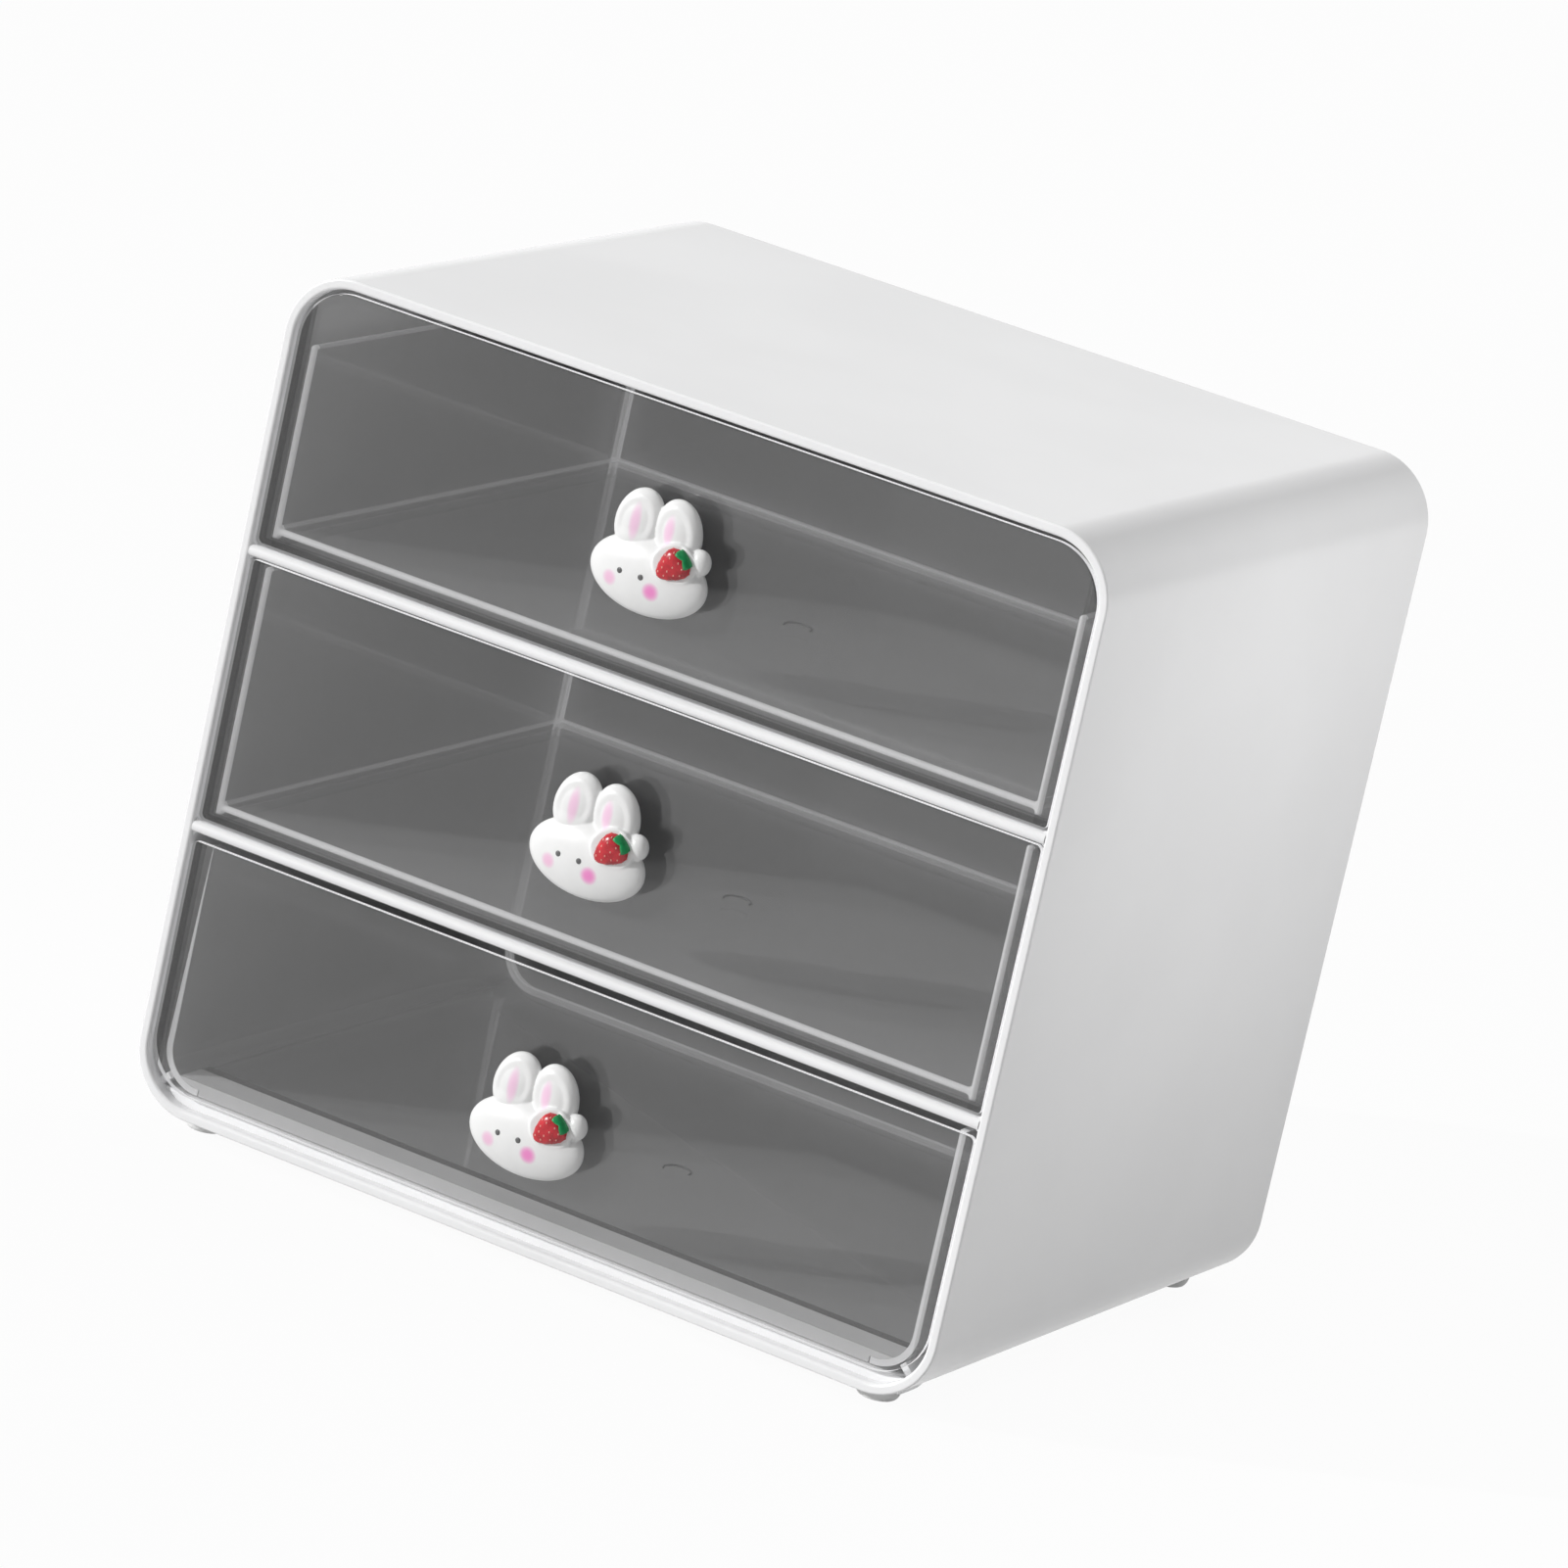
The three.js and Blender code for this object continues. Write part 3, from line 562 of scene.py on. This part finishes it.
def makeSill(setup):
    low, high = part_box("case_shell")
    floorTop = low.z + case["wall"]
    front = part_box("lower_front_plate")[1].y + setup["gapToPlate"]
    rear, half = front + setup["depth"], (high.x - low.x) / 2 - setup["endInset"]
    radius = setup["corner"]
    plan = [(-half, front), (half, front)]
    for side in (1, -1):
        for step in range(setup["cornerSteps"] + 1):
            angle = math.pi / 2 * step / setup["cornerSteps"] if side > 0 else (
                math.pi / 2 * (1 + step / setup["cornerSteps"]))
            plan.append((side * (half - radius) + radius * math.cos(angle), rear - radius + radius * math.sin(angle)))
    count = len(plan)
    verts = [(x, y, floorTop - setup["sunk"]) for x, y in plan] + [(x, y, floorTop + setup["top"]) for x, y in plan]
    faces = [list(range(count))[::-1], list(range(count, 2 * count))]
    faces += [(i, (i + 1) % count, (i + 1) % count + count, i + count) for i in range(count)]
    piece = makeObject("caseSill", meshFrom("caseSill", verts, faces), casePlastic)
    soften(piece, setup["edgeRound"], segments=4)
    finishPiece(piece, "case", "white_plastic")

    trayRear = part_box("lower_tray")[1].y
    reachX, reachZ = setup["runnerCentre"]
    for side, name in ((-1, "Left"), (1, "Right")):
        runner = bmesh.new()
        bmesh.ops.create_cube(runner, size=1)
        sizes = (setup["runnerWidth"], trayRear - front, setup["runnerTo"] - setup["runnerFrom"])
        bmesh.ops.scale(runner, vec=sizes, verts=runner.verts)
        bmesh.ops.translate(runner, vec=(0, (front + trayRear) / 2, -(setup["runnerTo"] + setup["runnerFrom"]) / 2),
                            verts=runner.verts)
        turn = Matrix.Rotation(-side * math.pi / 4, 3, "Y")
        bmesh.ops.rotate(runner, cent=(0, 0, 0), matrix=turn, verts=runner.verts)
        bmesh.ops.translate(runner, vec=(side * reachX, 0, floorTop + reachZ), verts=runner.verts)
        piece = makeObject("caseRunner" + name, meshOf("caseRunner" + name, runner), casePlastic)
        soften(piece, setup["edgeRound"] / 3)
        finishPiece(piece, "case", "white_plastic")


makeSill(sill)
print("sill made")


# Feet
foot = {"steps": 64, "rings": 14, "treadShare": 0.7, "gap": 0.05 * mm}


def makeFeet(setup):
    shellLow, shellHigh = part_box("case_shell")
    underside, corner = shellLow.z, case["corner"]
    for place in ("front_left", "front_right", "rear_left", "rear_right"):
        low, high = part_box("foot_" + place)
        centre = (low + high) / 2
        radius, top = (high.x - low.x) / 2, high.z
        profile = [(0, low.z)]
        tread = radius * setup["treadShare"]
        for step in range(setup["rings"] + 1):
            angle = math.pi / 2 * step / setup["rings"]
            profile.append((tread + (radius - tread) * math.sin(angle),
                            underside - (underside - low.z) * math.cos(angle)))
        profile.append((radius, top))
        profile.append((0, top))
        name = "foot" + place.title().replace("_", "")
        piece = makeObject(name, meshOf(name, lathe(profile, setup["steps"], axis=2)), footRubber)
        for vert in piece.data.vertices:
            vert.co += Vector((centre.x, centre.y, 0))
            edge = max(abs(vert.co.x) - (shellHigh.x - corner), 0)
            rise = corner - math.sqrt(corner ** 2 - edge ** 2)
            vert.co.z = min(vert.co.z, underside + rise - setup["gap"])        # follows the case's round corner
        shadeByAngle(piece)
        finishPiece(piece, "case", "foot_rubber", "foot_" + place)


makeFeet(foot)
print("feet made")


# Drawers: tray, front plate, screw and washer from the frame's own solids
drawer = {"trayRound": 0.8 * mm, "skirts": {"lower": 0, "middle": 3.5 * mm, "upper": 3.5 * mm},
          "corners": {"lower": 11 * mm, "middle": 2 * mm, "upper": 2 * mm},
          "floorDrop": {"lower": 2.2 * mm, "middle": 0.3 * mm, "upper": 0.3 * mm},
          "plateRound": 0.12 * mm, "seatGap": 0.06 * mm,
          "ledgeRound": 0.6 * mm, "ledgeSteps": 6, "paintedShadowWidth": 4 * mm,
          "markRadius": 3.6 * mm, "markWire": 0.3 * mm, "markSetback": 10 * mm, "markSweep": 215,
          "markSteps": 40, "markSides": 8,
          "screwRound": 0.15 * mm, "flatArea": 200 * mm * mm, "facing": 0.9, "turnedAway": 0.5}


def makeTray(level, setup):
    low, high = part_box(level + "_tray")
    floorLow = low + Vector((0, 0, setup["skirts"][level]))
    tray = cleanCopy(level + "_tray", level + "Tray",
                     smokyMaterial(level + " smoky tray", trayFinish, floorLow, high, trayEdgeFinish,
                                   setup["corners"][level]),
                     edgeMaterial(level + " pale tray edge", trayEdgeFinish, floorLow, high))
    for face in tray.data.polygons:
        atFront = face.normal.y < -setup["facing"] and face.center.y < low.y + setup["seatGap"]
        atTop = face.normal.z > setup["facing"] and face.center.z > high.z - setup["seatGap"]
        face.material_index = 1 if atFront or atTop else 0
    for vert in tray.data.vertices:
        if vert.co.y < low.y + setup["seatGap"] / 2:
            vert.co.y += setup["seatGap"]
    soften(tray, setup["trayRound"], slot=1)
    for face in tray.data.polygons:
        face.use_smooth = face.area < setup["flatArea"]
    finishPiece(tray, level + "_drawer", "smoky_plastic", level + "_tray")


def makePlate(level, setup):
    low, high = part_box(level + "_tray")
    low.z = 0 if level == "lower" else low.z + setup["skirts"][level]
    plastic = smokyMaterial(level + " smoky plate", plateFinish, low, high)
    plate = cleanCopy(level + "_front_plate", level + "Front", plastic, plateEdge)
    for face in plate.data.polygons:
        face.material_index = 1 if abs(face.normal.y) < setup["turnedAway"] else 0
    soften(plate, setup["plateRound"], segments=2)
    finishPiece(plate, level + "_drawer", "smoky_plastic", level + "_front_plate")


def makeLedge(setup):        # its ends follow the round corners inside the tray
    low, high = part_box("lower_front_ledge")
    trayLow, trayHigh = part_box("lower_tray")
    corner, wall, gap = setup["corners"]["lower"], trayEdgeFinish["seamWall"], setup["seatGap"]
    centreX, centreZ, radius = trayHigh.x - corner, trayLow.z + corner, corner - wall
    right, steps = [(high.x, low.z + gap / 2), (high.x, low.z + wall)], setup["ledgeSteps"]
    for step in range(steps + 1):
        up = low.z + wall + (high.z - low.z - wall) * step / steps
        right.append((centreX + math.sqrt(max(radius ** 2 - (centreZ - up) ** 2, 0)), up + gap / 2))
    outline = right + [(-x, z) for x, z in reversed(right)]
    count = len(outline)
    verts = [(x, y, z) for y in (low.y + gap, high.y) for x, z in outline]
    faces = [list(range(count)), list(range(count, 2 * count))[::-1]]
    faces += [(i, i + count, (i + 1) % count + count, (i + 1) % count) for i in range(count)]
    # the ledge gets painted shade on its front face and a painted shadow line along its rear edge
    plastic = caseMaterial("ledge plastic", caseFinish,
                           (low.y + setup["ledgeRound"] / 2, high.y - setup["paintedShadowWidth"]))
    ledge = makeObject("lowerLedge", meshFrom("lowerLedge", verts, faces), plastic)
    faceOutwards(ledge.data)
    soften(ledge, setup["ledgeRound"], segments=4, angle=50)
    finishPiece(ledge, "lower_drawer", "white_plastic", "lower_front_ledge")


def makeFixings(level, setup):
    for kind in ("screw", "washer"):
        piece = cleanCopy(f"{level}_knob_{kind}", f"{level}Knob{kind.title()}", screwSteel)
        soften(piece, setup["screwRound"], segments=2)
        finishPiece(piece, level + "_drawer", "screw_steel", f"{level}_knob_{kind}")


def makeGateMark(level, setup):        # arc left by the mould on the tray's floor
    low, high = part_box(level + "_tray")
    inside = next(o for o in frame["record"]["physics"]["openings"] if o["name"].startswith(level))
    floorTop, middle = inside["box_m"][0][2] - setup["floorDrop"][level], (low.y + high.y) / 2 - setup["markSetback"]
    wire, steps, sides = (setup[k] for k in ("markWire", "markSteps", "markSides"))
    verts = []
    for k in range(steps + 1):
        turn = math.radians(setup["markSweep"]) * k / steps
        for j in range(sides):
            angle = math.tau * j / sides
            radius = setup["markRadius"] + wire * math.cos(angle)
            verts.append((radius * math.cos(turn), middle + radius * math.sin(turn), floorTop + wire * math.sin(angle)))
    faces = [(sides * k + j, sides * k + (j + 1) % sides, sides * (k + 1) + (j + 1) % sides, sides * (k + 1) + j)
             for k in range(steps) for j in range(sides)]
    faces += [tuple(range(sides))[::-1], tuple(sides * steps + j for j in range(sides))]
    arc = makeObject(level + "GateMark", meshFrom(level + "GateMark", verts, faces), markPlastic)
    faceOutwards(arc.data)
    shadeByAngle(arc)
    finishPiece(arc, level + "_drawer", "smoky_plastic")


markPlastic = plainMaterial("mould mark", (0.05, 0.05, 0.052), 0.4)
for level in levels:
    makeTray(level, drawer)
    makePlate(level, drawer)
    makeFixings(level, drawer)
    makeGateMark(level, drawer)
makeLedge(drawer)
print("drawers made")


# Rabbit knobs. X to the right, Y up, Z out of the plate, from the screw's axis on the plate's face.
rabbit = {"stem": 5 * mm, "gap": 1.8 * mm, "middle": 5.2 * mm,
          "headHalf": (16.6 * mm, 9.9 * mm, 5 * mm), "headDrop": 6.7 * mm,
          "earHalf": (6.4 * mm, 8.6 * mm, 3.6 * mm), "earOffset": 5.7 * mm, "earRise": 5.8 * mm, "earLean": 14,
          "earDish": 0.6 * mm, "earDishShare": 0.82, "earDishBlend": 0.4, "earDishFrom": (0.5 * mm, 4 * mm),
          "backingRadius": 5.8 * mm, "backingHeight": 4.5 * mm, "backingRound": 0.6 * mm, "backingOval": 0.9,
          "backingSteps": 6, "stemLift": 0.05 * mm,
          "backingPlace": (8.4 * mm, -0.9 * mm, 9.6 * mm), "backingTurn": 13,
          "budHalf": (2.7 * mm, 3.3 * mm, 2.5 * mm), "budPlace": (5.9 * mm, 1.9 * mm, -2.2 * mm),
          "voxel": 0.25 * mm, "smoothing": 4, "smoothShare": 0.5, "discSteps": 64, "stemSteps": 48}
rabbitPaint = {"resin": (0.83, 0.83, 0.825), "shade": (0.8, 0.8, 0.795), "blush": (0.86, 0.24, 0.58),
               "earPink": (0.87, 0.5, 0.72),
               "cheeks": (((-8.5, -9.2), 1.9, 0.5), ((3.7, -9.2), 2.1, 0.95)),
               "ears": (((-5.4, 5.9), (1.5, 4.4)), ((4.3, 6.4), (1.5, 3.6))),
               "spotEdge": 1.6, "earStrength": 0.75, "patch": 120, "roughness": 0.28, "roughnessSpread": 0.12,
               "grain": 700, "grainHeight": 0.006 * mm,
               "eyes": ((-5.8, -6.5), (0.4, -6.4)), "eyeRadius": 0.75 * mm, "eyeFlatness": 0.3,
               "eyeStart": 40 * mm, "eyeSteps": 16,
               "eyeColour": (0.12, 0.12, 0.12)}
berry = {"radius": 4 * mm, "length": 9 * mm, "height": 2 * mm, "tilt": -46, "steps": 32,
         "outlineShares": ((0, -0.5), (0.3, -0.44), (0.62, -0.27), (0.9, -0.02), (1, 0.16), (0.95, 0.32),
                           (0.7, 0.44), (0.36, 0.49), (0, 0.5)),
         "leafLift": 0.3 * mm, "leafThickness": 0.4 * mm, "leafPoints": 6, "lobeSteps": 8, "leafRings": 6,
         "leafReachShares": (0.08, 0.38), "leafNotch": 0.4, "leafRoot": 0.3, "place": (-0.5 * mm, -0.5 * mm, 0),
         "seedSpacing": 1.5 * mm, "seedSize": 0.24 * mm, "seedStretch": (0.75, 1.3, 0.5), "seedDensity": 2e6,
         "seed": 7}


def knobFrame(level):        # from the knob's own axes to the row frame
    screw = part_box(level + "_knob_screw")
    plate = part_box(level + "_front_plate")
    place = Vector(((screw[0].x + screw[1].x) / 2, plate[0].y, (screw[0].z + screw[1].z) / 2))
    return Matrix.Translation(place) @ Matrix.Rotation(math.pi / 2, 4, "X")


def ball(build, half, place, lean=0.0):
    turn = Matrix.Translation(place) @ Matrix.Rotation(math.radians(lean), 4, "Z") @ Matrix.Diagonal((*half, 1))
    bmesh.ops.create_uvsphere(build, u_segments=64, v_segments=40, radius=1, matrix=turn)


def backingFrame(setup):
    return Matrix.Translation(setup["backingPlace"]) @ Matrix.Rotation(math.radians(setup["backingTurn"]), 4, "Y")


def smoothStep(value):
    value = min(max(value, 0), 1)
    return value * value * (3 - 2 * value)


def earDish(setup, point):        # how far the front of an ear is hollowed at a point
    blend = setup["earDishBlend"]
    front = smoothStep((point.z - setup["middle"]) / (blend * setup["earHalf"][2]))
    start, end = setup["earDishFrom"]
    raised = smoothStep((point.y - start) / (end - start))
    deepest = 0
    for side in (-1, 1):
        local = Matrix.Rotation(math.radians(-side * setup["earLean"]), 2) @ Vector(
            (point.x - side * setup["earOffset"], point.y - setup["earRise"]))
        reach = math.hypot(local.x / setup["earHalf"][0], local.y / setup["earHalf"][1]) / setup["earDishShare"]
        deepest = max(deepest, smoothStep((1 - reach) / blend))
    return setup["earDish"] * front * raised * deepest


def makeKnobMesh(setup):
    build = bmesh.new()
    ball(build, setup["headHalf"], (0, -setup["headDrop"], setup["middle"]))
    for side in (-1, 1):
        ball(build, setup["earHalf"], (side * setup["earOffset"], setup["earRise"], setup["middle"]),
             side * setup["earLean"])
    onBacking = backingFrame(setup)
    profile = [(0, -setup["backingHeight"]), (setup["backingRadius"], -setup["backingHeight"])]
    edge, steps = setup["backingRound"], setup["backingSteps"]
    for step in range(steps + 1):
        angle = math.pi / 2 * step / steps
        profile.append((setup["backingRadius"] - edge + edge * math.cos(angle), edge * math.sin(angle) - edge))
    profile.append((0, 0))
    disc = lathe(profile, setup["discSteps"])
    squash = Matrix.Diagonal((1, setup["backingOval"], 1, 1))
    disc.transform(onBacking @ squash @ Matrix.Rotation(math.pi / 2, 4, "X"))
    discMesh = meshOf("disc", disc)
    build.from_mesh(discMesh)
    bpy.data.meshes.remove(discMesh)
    ball(build, setup["budHalf"], onBacking @ Vector(setup["budPlace"]), setup["earLean"])
    shape = makeObject("knobShape", meshOf("knob shape", build))
    remesh = shape.modifiers.new("one skin", "REMESH")
    remesh.mode = "VOXEL"
    remesh.voxel_size = setup["voxel"]
    relax = shape.modifiers.new("soft creases", "SMOOTH")
    relax.factor, relax.iterations = setup["smoothShare"], setup["smoothing"]
    baked(shape)
    for vert in shape.data.vertices:
        vert.co.z -= earDish(setup, vert.co)
    build = bmesh.new()
    build.from_mesh(shape.data)
    cut = bmesh.ops.bisect_plane(build, geom=build.verts[:] + build.edges[:] + build.faces[:],
                                 plane_co=(0, 0, setup["gap"]), plane_no=(0, 0, -1), clear_outer=True)
    rim = [e for e in cut["geom_cut"] if isinstance(e, bmesh.types.BMEdge)]
    bmesh.ops.edgenet_fill(build, edges=rim)
    stemPlace = Matrix.Translation((0, 0, setup["middle"] / 2 + setup["stemLift"]))
    bmesh.ops.create_cone(build, cap_ends=True, segments=setup["stemSteps"], radius1=setup["stem"],
                          radius2=setup["stem"], depth=setup["middle"], matrix=stemPlace)
    bmesh.ops.recalc_face_normals(build, faces=build.faces)
    build.to_mesh(shape.data)
    build.free()
    for face in shape.data.polygons:
        face.use_smooth = len(face.vertices) <= 4
    result = shape.data
    bpy.data.objects.remove(shape)
    return result


def knobMaterial(level, paint, centre):
    material, make = newMaterial(level + " knob resin")
    place = make.coords(centre)
    across, _, up = make.split(place)
    patches = make.noise(place, paint["patch"], 3)
    colour = make.mixColour(patches.smooth(*patchEdges), paint["resin"], paint["shade"])

    def spot(at, half):
        spread = ((across - at[0] * mm) / (half[0] * mm)) ** 2 + ((up - at[1] * mm) / (half[1] * mm)) ** 2
        return 1 - spread.smooth(0, paint["spotEdge"])

    for at, half in paint["ears"]:
        colour = make.mixColour(spot(at, half) * paint["earStrength"], colour, paint["earPink"])
    for at, radius, strength in paint["cheeks"]:
        colour = make.mixColour(spot(at, (radius, radius)) * strength, colour, paint["blush"])
    make.surface(make.add("ShaderNodeBsdfPrincipled", {}, {
        "Base Color": colour, "Roughness": paint["roughness"] + paint["roughnessSpread"] * patches,
        "IOR": plasticIor, "Normal": make.bump(make.noise(place, paint["grain"], 2), paint["grainHeight"])}))
    return material


def seedTree(setup):
    tree = bpy.data.node_groups.new("berry seeds", "GeometryNodeTree")
    for name, kind in (("Geometry", "Geometry"), ("Spacing", "Float"), ("Size", "Float"), ("Seed", "Int"),
                       ("Material", "Material")):
        tree.interface.new_socket(name, in_out="INPUT", socket_type="NodeSocket" + kind)
    tree.interface.new_socket("Geometry", in_out="OUTPUT", socket_type="NodeSocketGeometry")
    make = Maker(tree)
    given = {s.name: s for s in make.node("NodeGroupInput").outputs}
    points = make.node("GeometryNodeDistributePointsOnFaces", {"distribute_method": "POISSON"}, {
        "Mesh": given["Geometry"], "Distance Min": given["Spacing"], "Density Max": setup["seedDensity"],
        "Seed": given["Seed"]})
    grain = make.node("GeometryNodeMeshIcoSphere", {}, {"Radius": given["Size"], "Subdivisions": 2})
    long = make.node("GeometryNodeTransform", {}, {"Geometry": grain.outputs[0], "Scale": setup["seedStretch"]})
    spread = make.node("GeometryNodeInstanceOnPoints", {}, {
        "Points": points.outputs["Points"], "Instance": long.outputs[0], "Rotation": points.outputs["Rotation"]})
    real = make.node("GeometryNodeRealizeInstances", {}, {0: spread.outputs[0]})
    dressed = make.node("GeometryNodeSetMaterial", {}, {"Geometry": real.outputs[0], "Material": given["Material"]})
    tree.links.new(dressed.outputs[0], make.node("NodeGroupOutput").inputs[0])
    return tree


def berryProfile(setup, grow=0.0):
    return [(share * (setup["radius"] + (grow if share else 0)), along * (setup["length"] + 2 * grow))
            for share, along in setup["outlineShares"]]


def makeBerryMesh(setup):
    build = lathe(berryProfile(setup), setup["steps"])
    build.transform(Matrix.Diagonal((1, 1, setup["height"] / setup["radius"], 1)))
    return meshOf("berry", build)


def outlineAt(profile, share):        # point on a profile at a share of its length from the stalk's end
    profile = profile[::-1]
    lengths = [math.dist(a, b) for a, b in zip(profile, profile[1:])]
    left = share * sum(lengths)
    for (first, second), length in zip(zip(profile, profile[1:]), lengths):
        if left <= length:
            return [a + (b - a) * left / length for a, b in zip(first, second)]
        left -= length
    return profile[-1]


def makeLeafMesh(setup):
    profile = berryProfile(setup, setup["leafLift"])
    lobe, rings, root = setup["lobeSteps"], setup["leafRings"], setup["leafRoot"]
    around, flatness = setup["leafPoints"] * lobe, setup["height"] / setup["radius"]
    least, most = setup["leafReachShares"]
    verts, faces = [], []
    for k in range(around):
        wave = 1 - abs((k / lobe % 1) * 2 - 1)
        front = ((1 + math.sin(math.tau * k / around)) / 2) ** 2
        reach = least + (most - least) * front * (1 - setup["leafNotch"] * wave)
        for ring in range(rings + 1):
            radius, along = outlineAt(profile, reach * (ring + root) / (rings + root))
            angle = math.tau * k / around
            verts.append((radius * math.cos(angle), along, radius * math.sin(angle) * flatness))
    for k in range(around):
        here, after = k * (rings + 1), (k + 1) % around * (rings + 1)
        faces += [(here + r, here + r + 1, after + r + 1, after + r) for r in range(rings)]
    faces.append([k * (rings + 1) for k in range(around)])
    return meshFrom("leaf", verts, faces)


def makeKnob(level, shape, paint):
    toRow = knobFrame(level)
    body = level + "_drawer"
    mesh = shape.copy()
    mesh.transform(toRow)
    knob = makeObject(level + "Knob", mesh, knobMaterial(level, paint, toRow.translation))
    finishPiece(knob, body, "knob_resin", level + "_rabbit_knob")

    for side, (x, y) in zip(("Left", "Right"), paint["eyes"]):
        start = toRow @ Vector((x * mm, y * mm, paint["eyeStart"]))        # well in front of the face
        _, point, normal, _ = knob.ray_cast(start, Vector((0, 1, 0)))
        radius, steps = paint["eyeRadius"], paint["eyeSteps"]
        profile = [(math.sin(math.pi * k / steps), math.cos(math.pi * k / steps)) for k in range(steps + 1)]
        build = lathe(profile, 2 * steps, axis=2)
        turn = Matrix.Translation(point) @ normal.to_track_quat("Z", "Y").to_matrix().to_4x4()
        build.transform(turn @ Matrix.Diagonal((radius, radius, radius * paint["eyeFlatness"], 1)))
        eye = makeObject(level + "Eye" + side, meshOf(level + "Eye" + side, build), eyePaint)
        shadeByAngle(eye)
        finishPiece(eye, body, "knob_resin")

    onBacking = toRow @ backingFrame(rabbit) @ Matrix.Translation(berry["place"]) @ Matrix.Rotation(
        math.radians(berry["tilt"]), 4, "Z")
    for name, source, material, slotName, node in (
            ("Berry", berryMesh, berryRed, "berry_red", "strawberry"),
            ("Leaf", leafMesh, leafGreen, "leaf_green", "strawberry_leaf")):
        mesh = source.copy()
        mesh.transform(onBacking)
        piece = makeObject(level + name, mesh, material)
        shadeByAngle(piece, angle=60)
        if name == "Leaf":
            faceOutwards(piece.data)
            thick = piece.modifiers.new("thickness", "SOLIDIFY")
            thick.thickness, thick.offset = berry["leafThickness"], 1
            piece.modifiers.move(len(piece.modifiers) - 1, 0)
        finishPiece(piece, body, slotName, f"{level}_{node}")
    seeds = makeObject(level + "Seeds", berryMesh.copy())
    seeds.data.transform(onBacking)
    applyTree(seeds, seedTree(berry), {"Spacing": berry["seedSpacing"], "Size": berry["seedSize"],
                                       "Seed": berry["seed"], "Material": seedPale})
    shadeByAngle(seeds, angle=60)
    finishPiece(seeds, body, "berry_red")


eyePaint = plainMaterial("eye paint", rabbitPaint["eyeColour"], 0.35)
berryRed = plainMaterial("berry red", (0.62, 0.022, 0.035), 0.25, patch=500, spread=0.35)
leafGreen = plainMaterial("leaf green", (0.01, 0.33, 0.1), 0.35, patch=900, spread=0.3)
seedPale = plainMaterial("seed", (0.82, 0.4, 0.34), 0.4)
knobShape = makeKnobMesh(rabbit)
berryMesh = makeBerryMesh(berry)
leafMesh = makeLeafMesh(berry)
for level in levels:
    makeKnob(level, knobShape, rabbitPaint)
print("knobs made")

scene.view_settings.view_transform = "Standard"
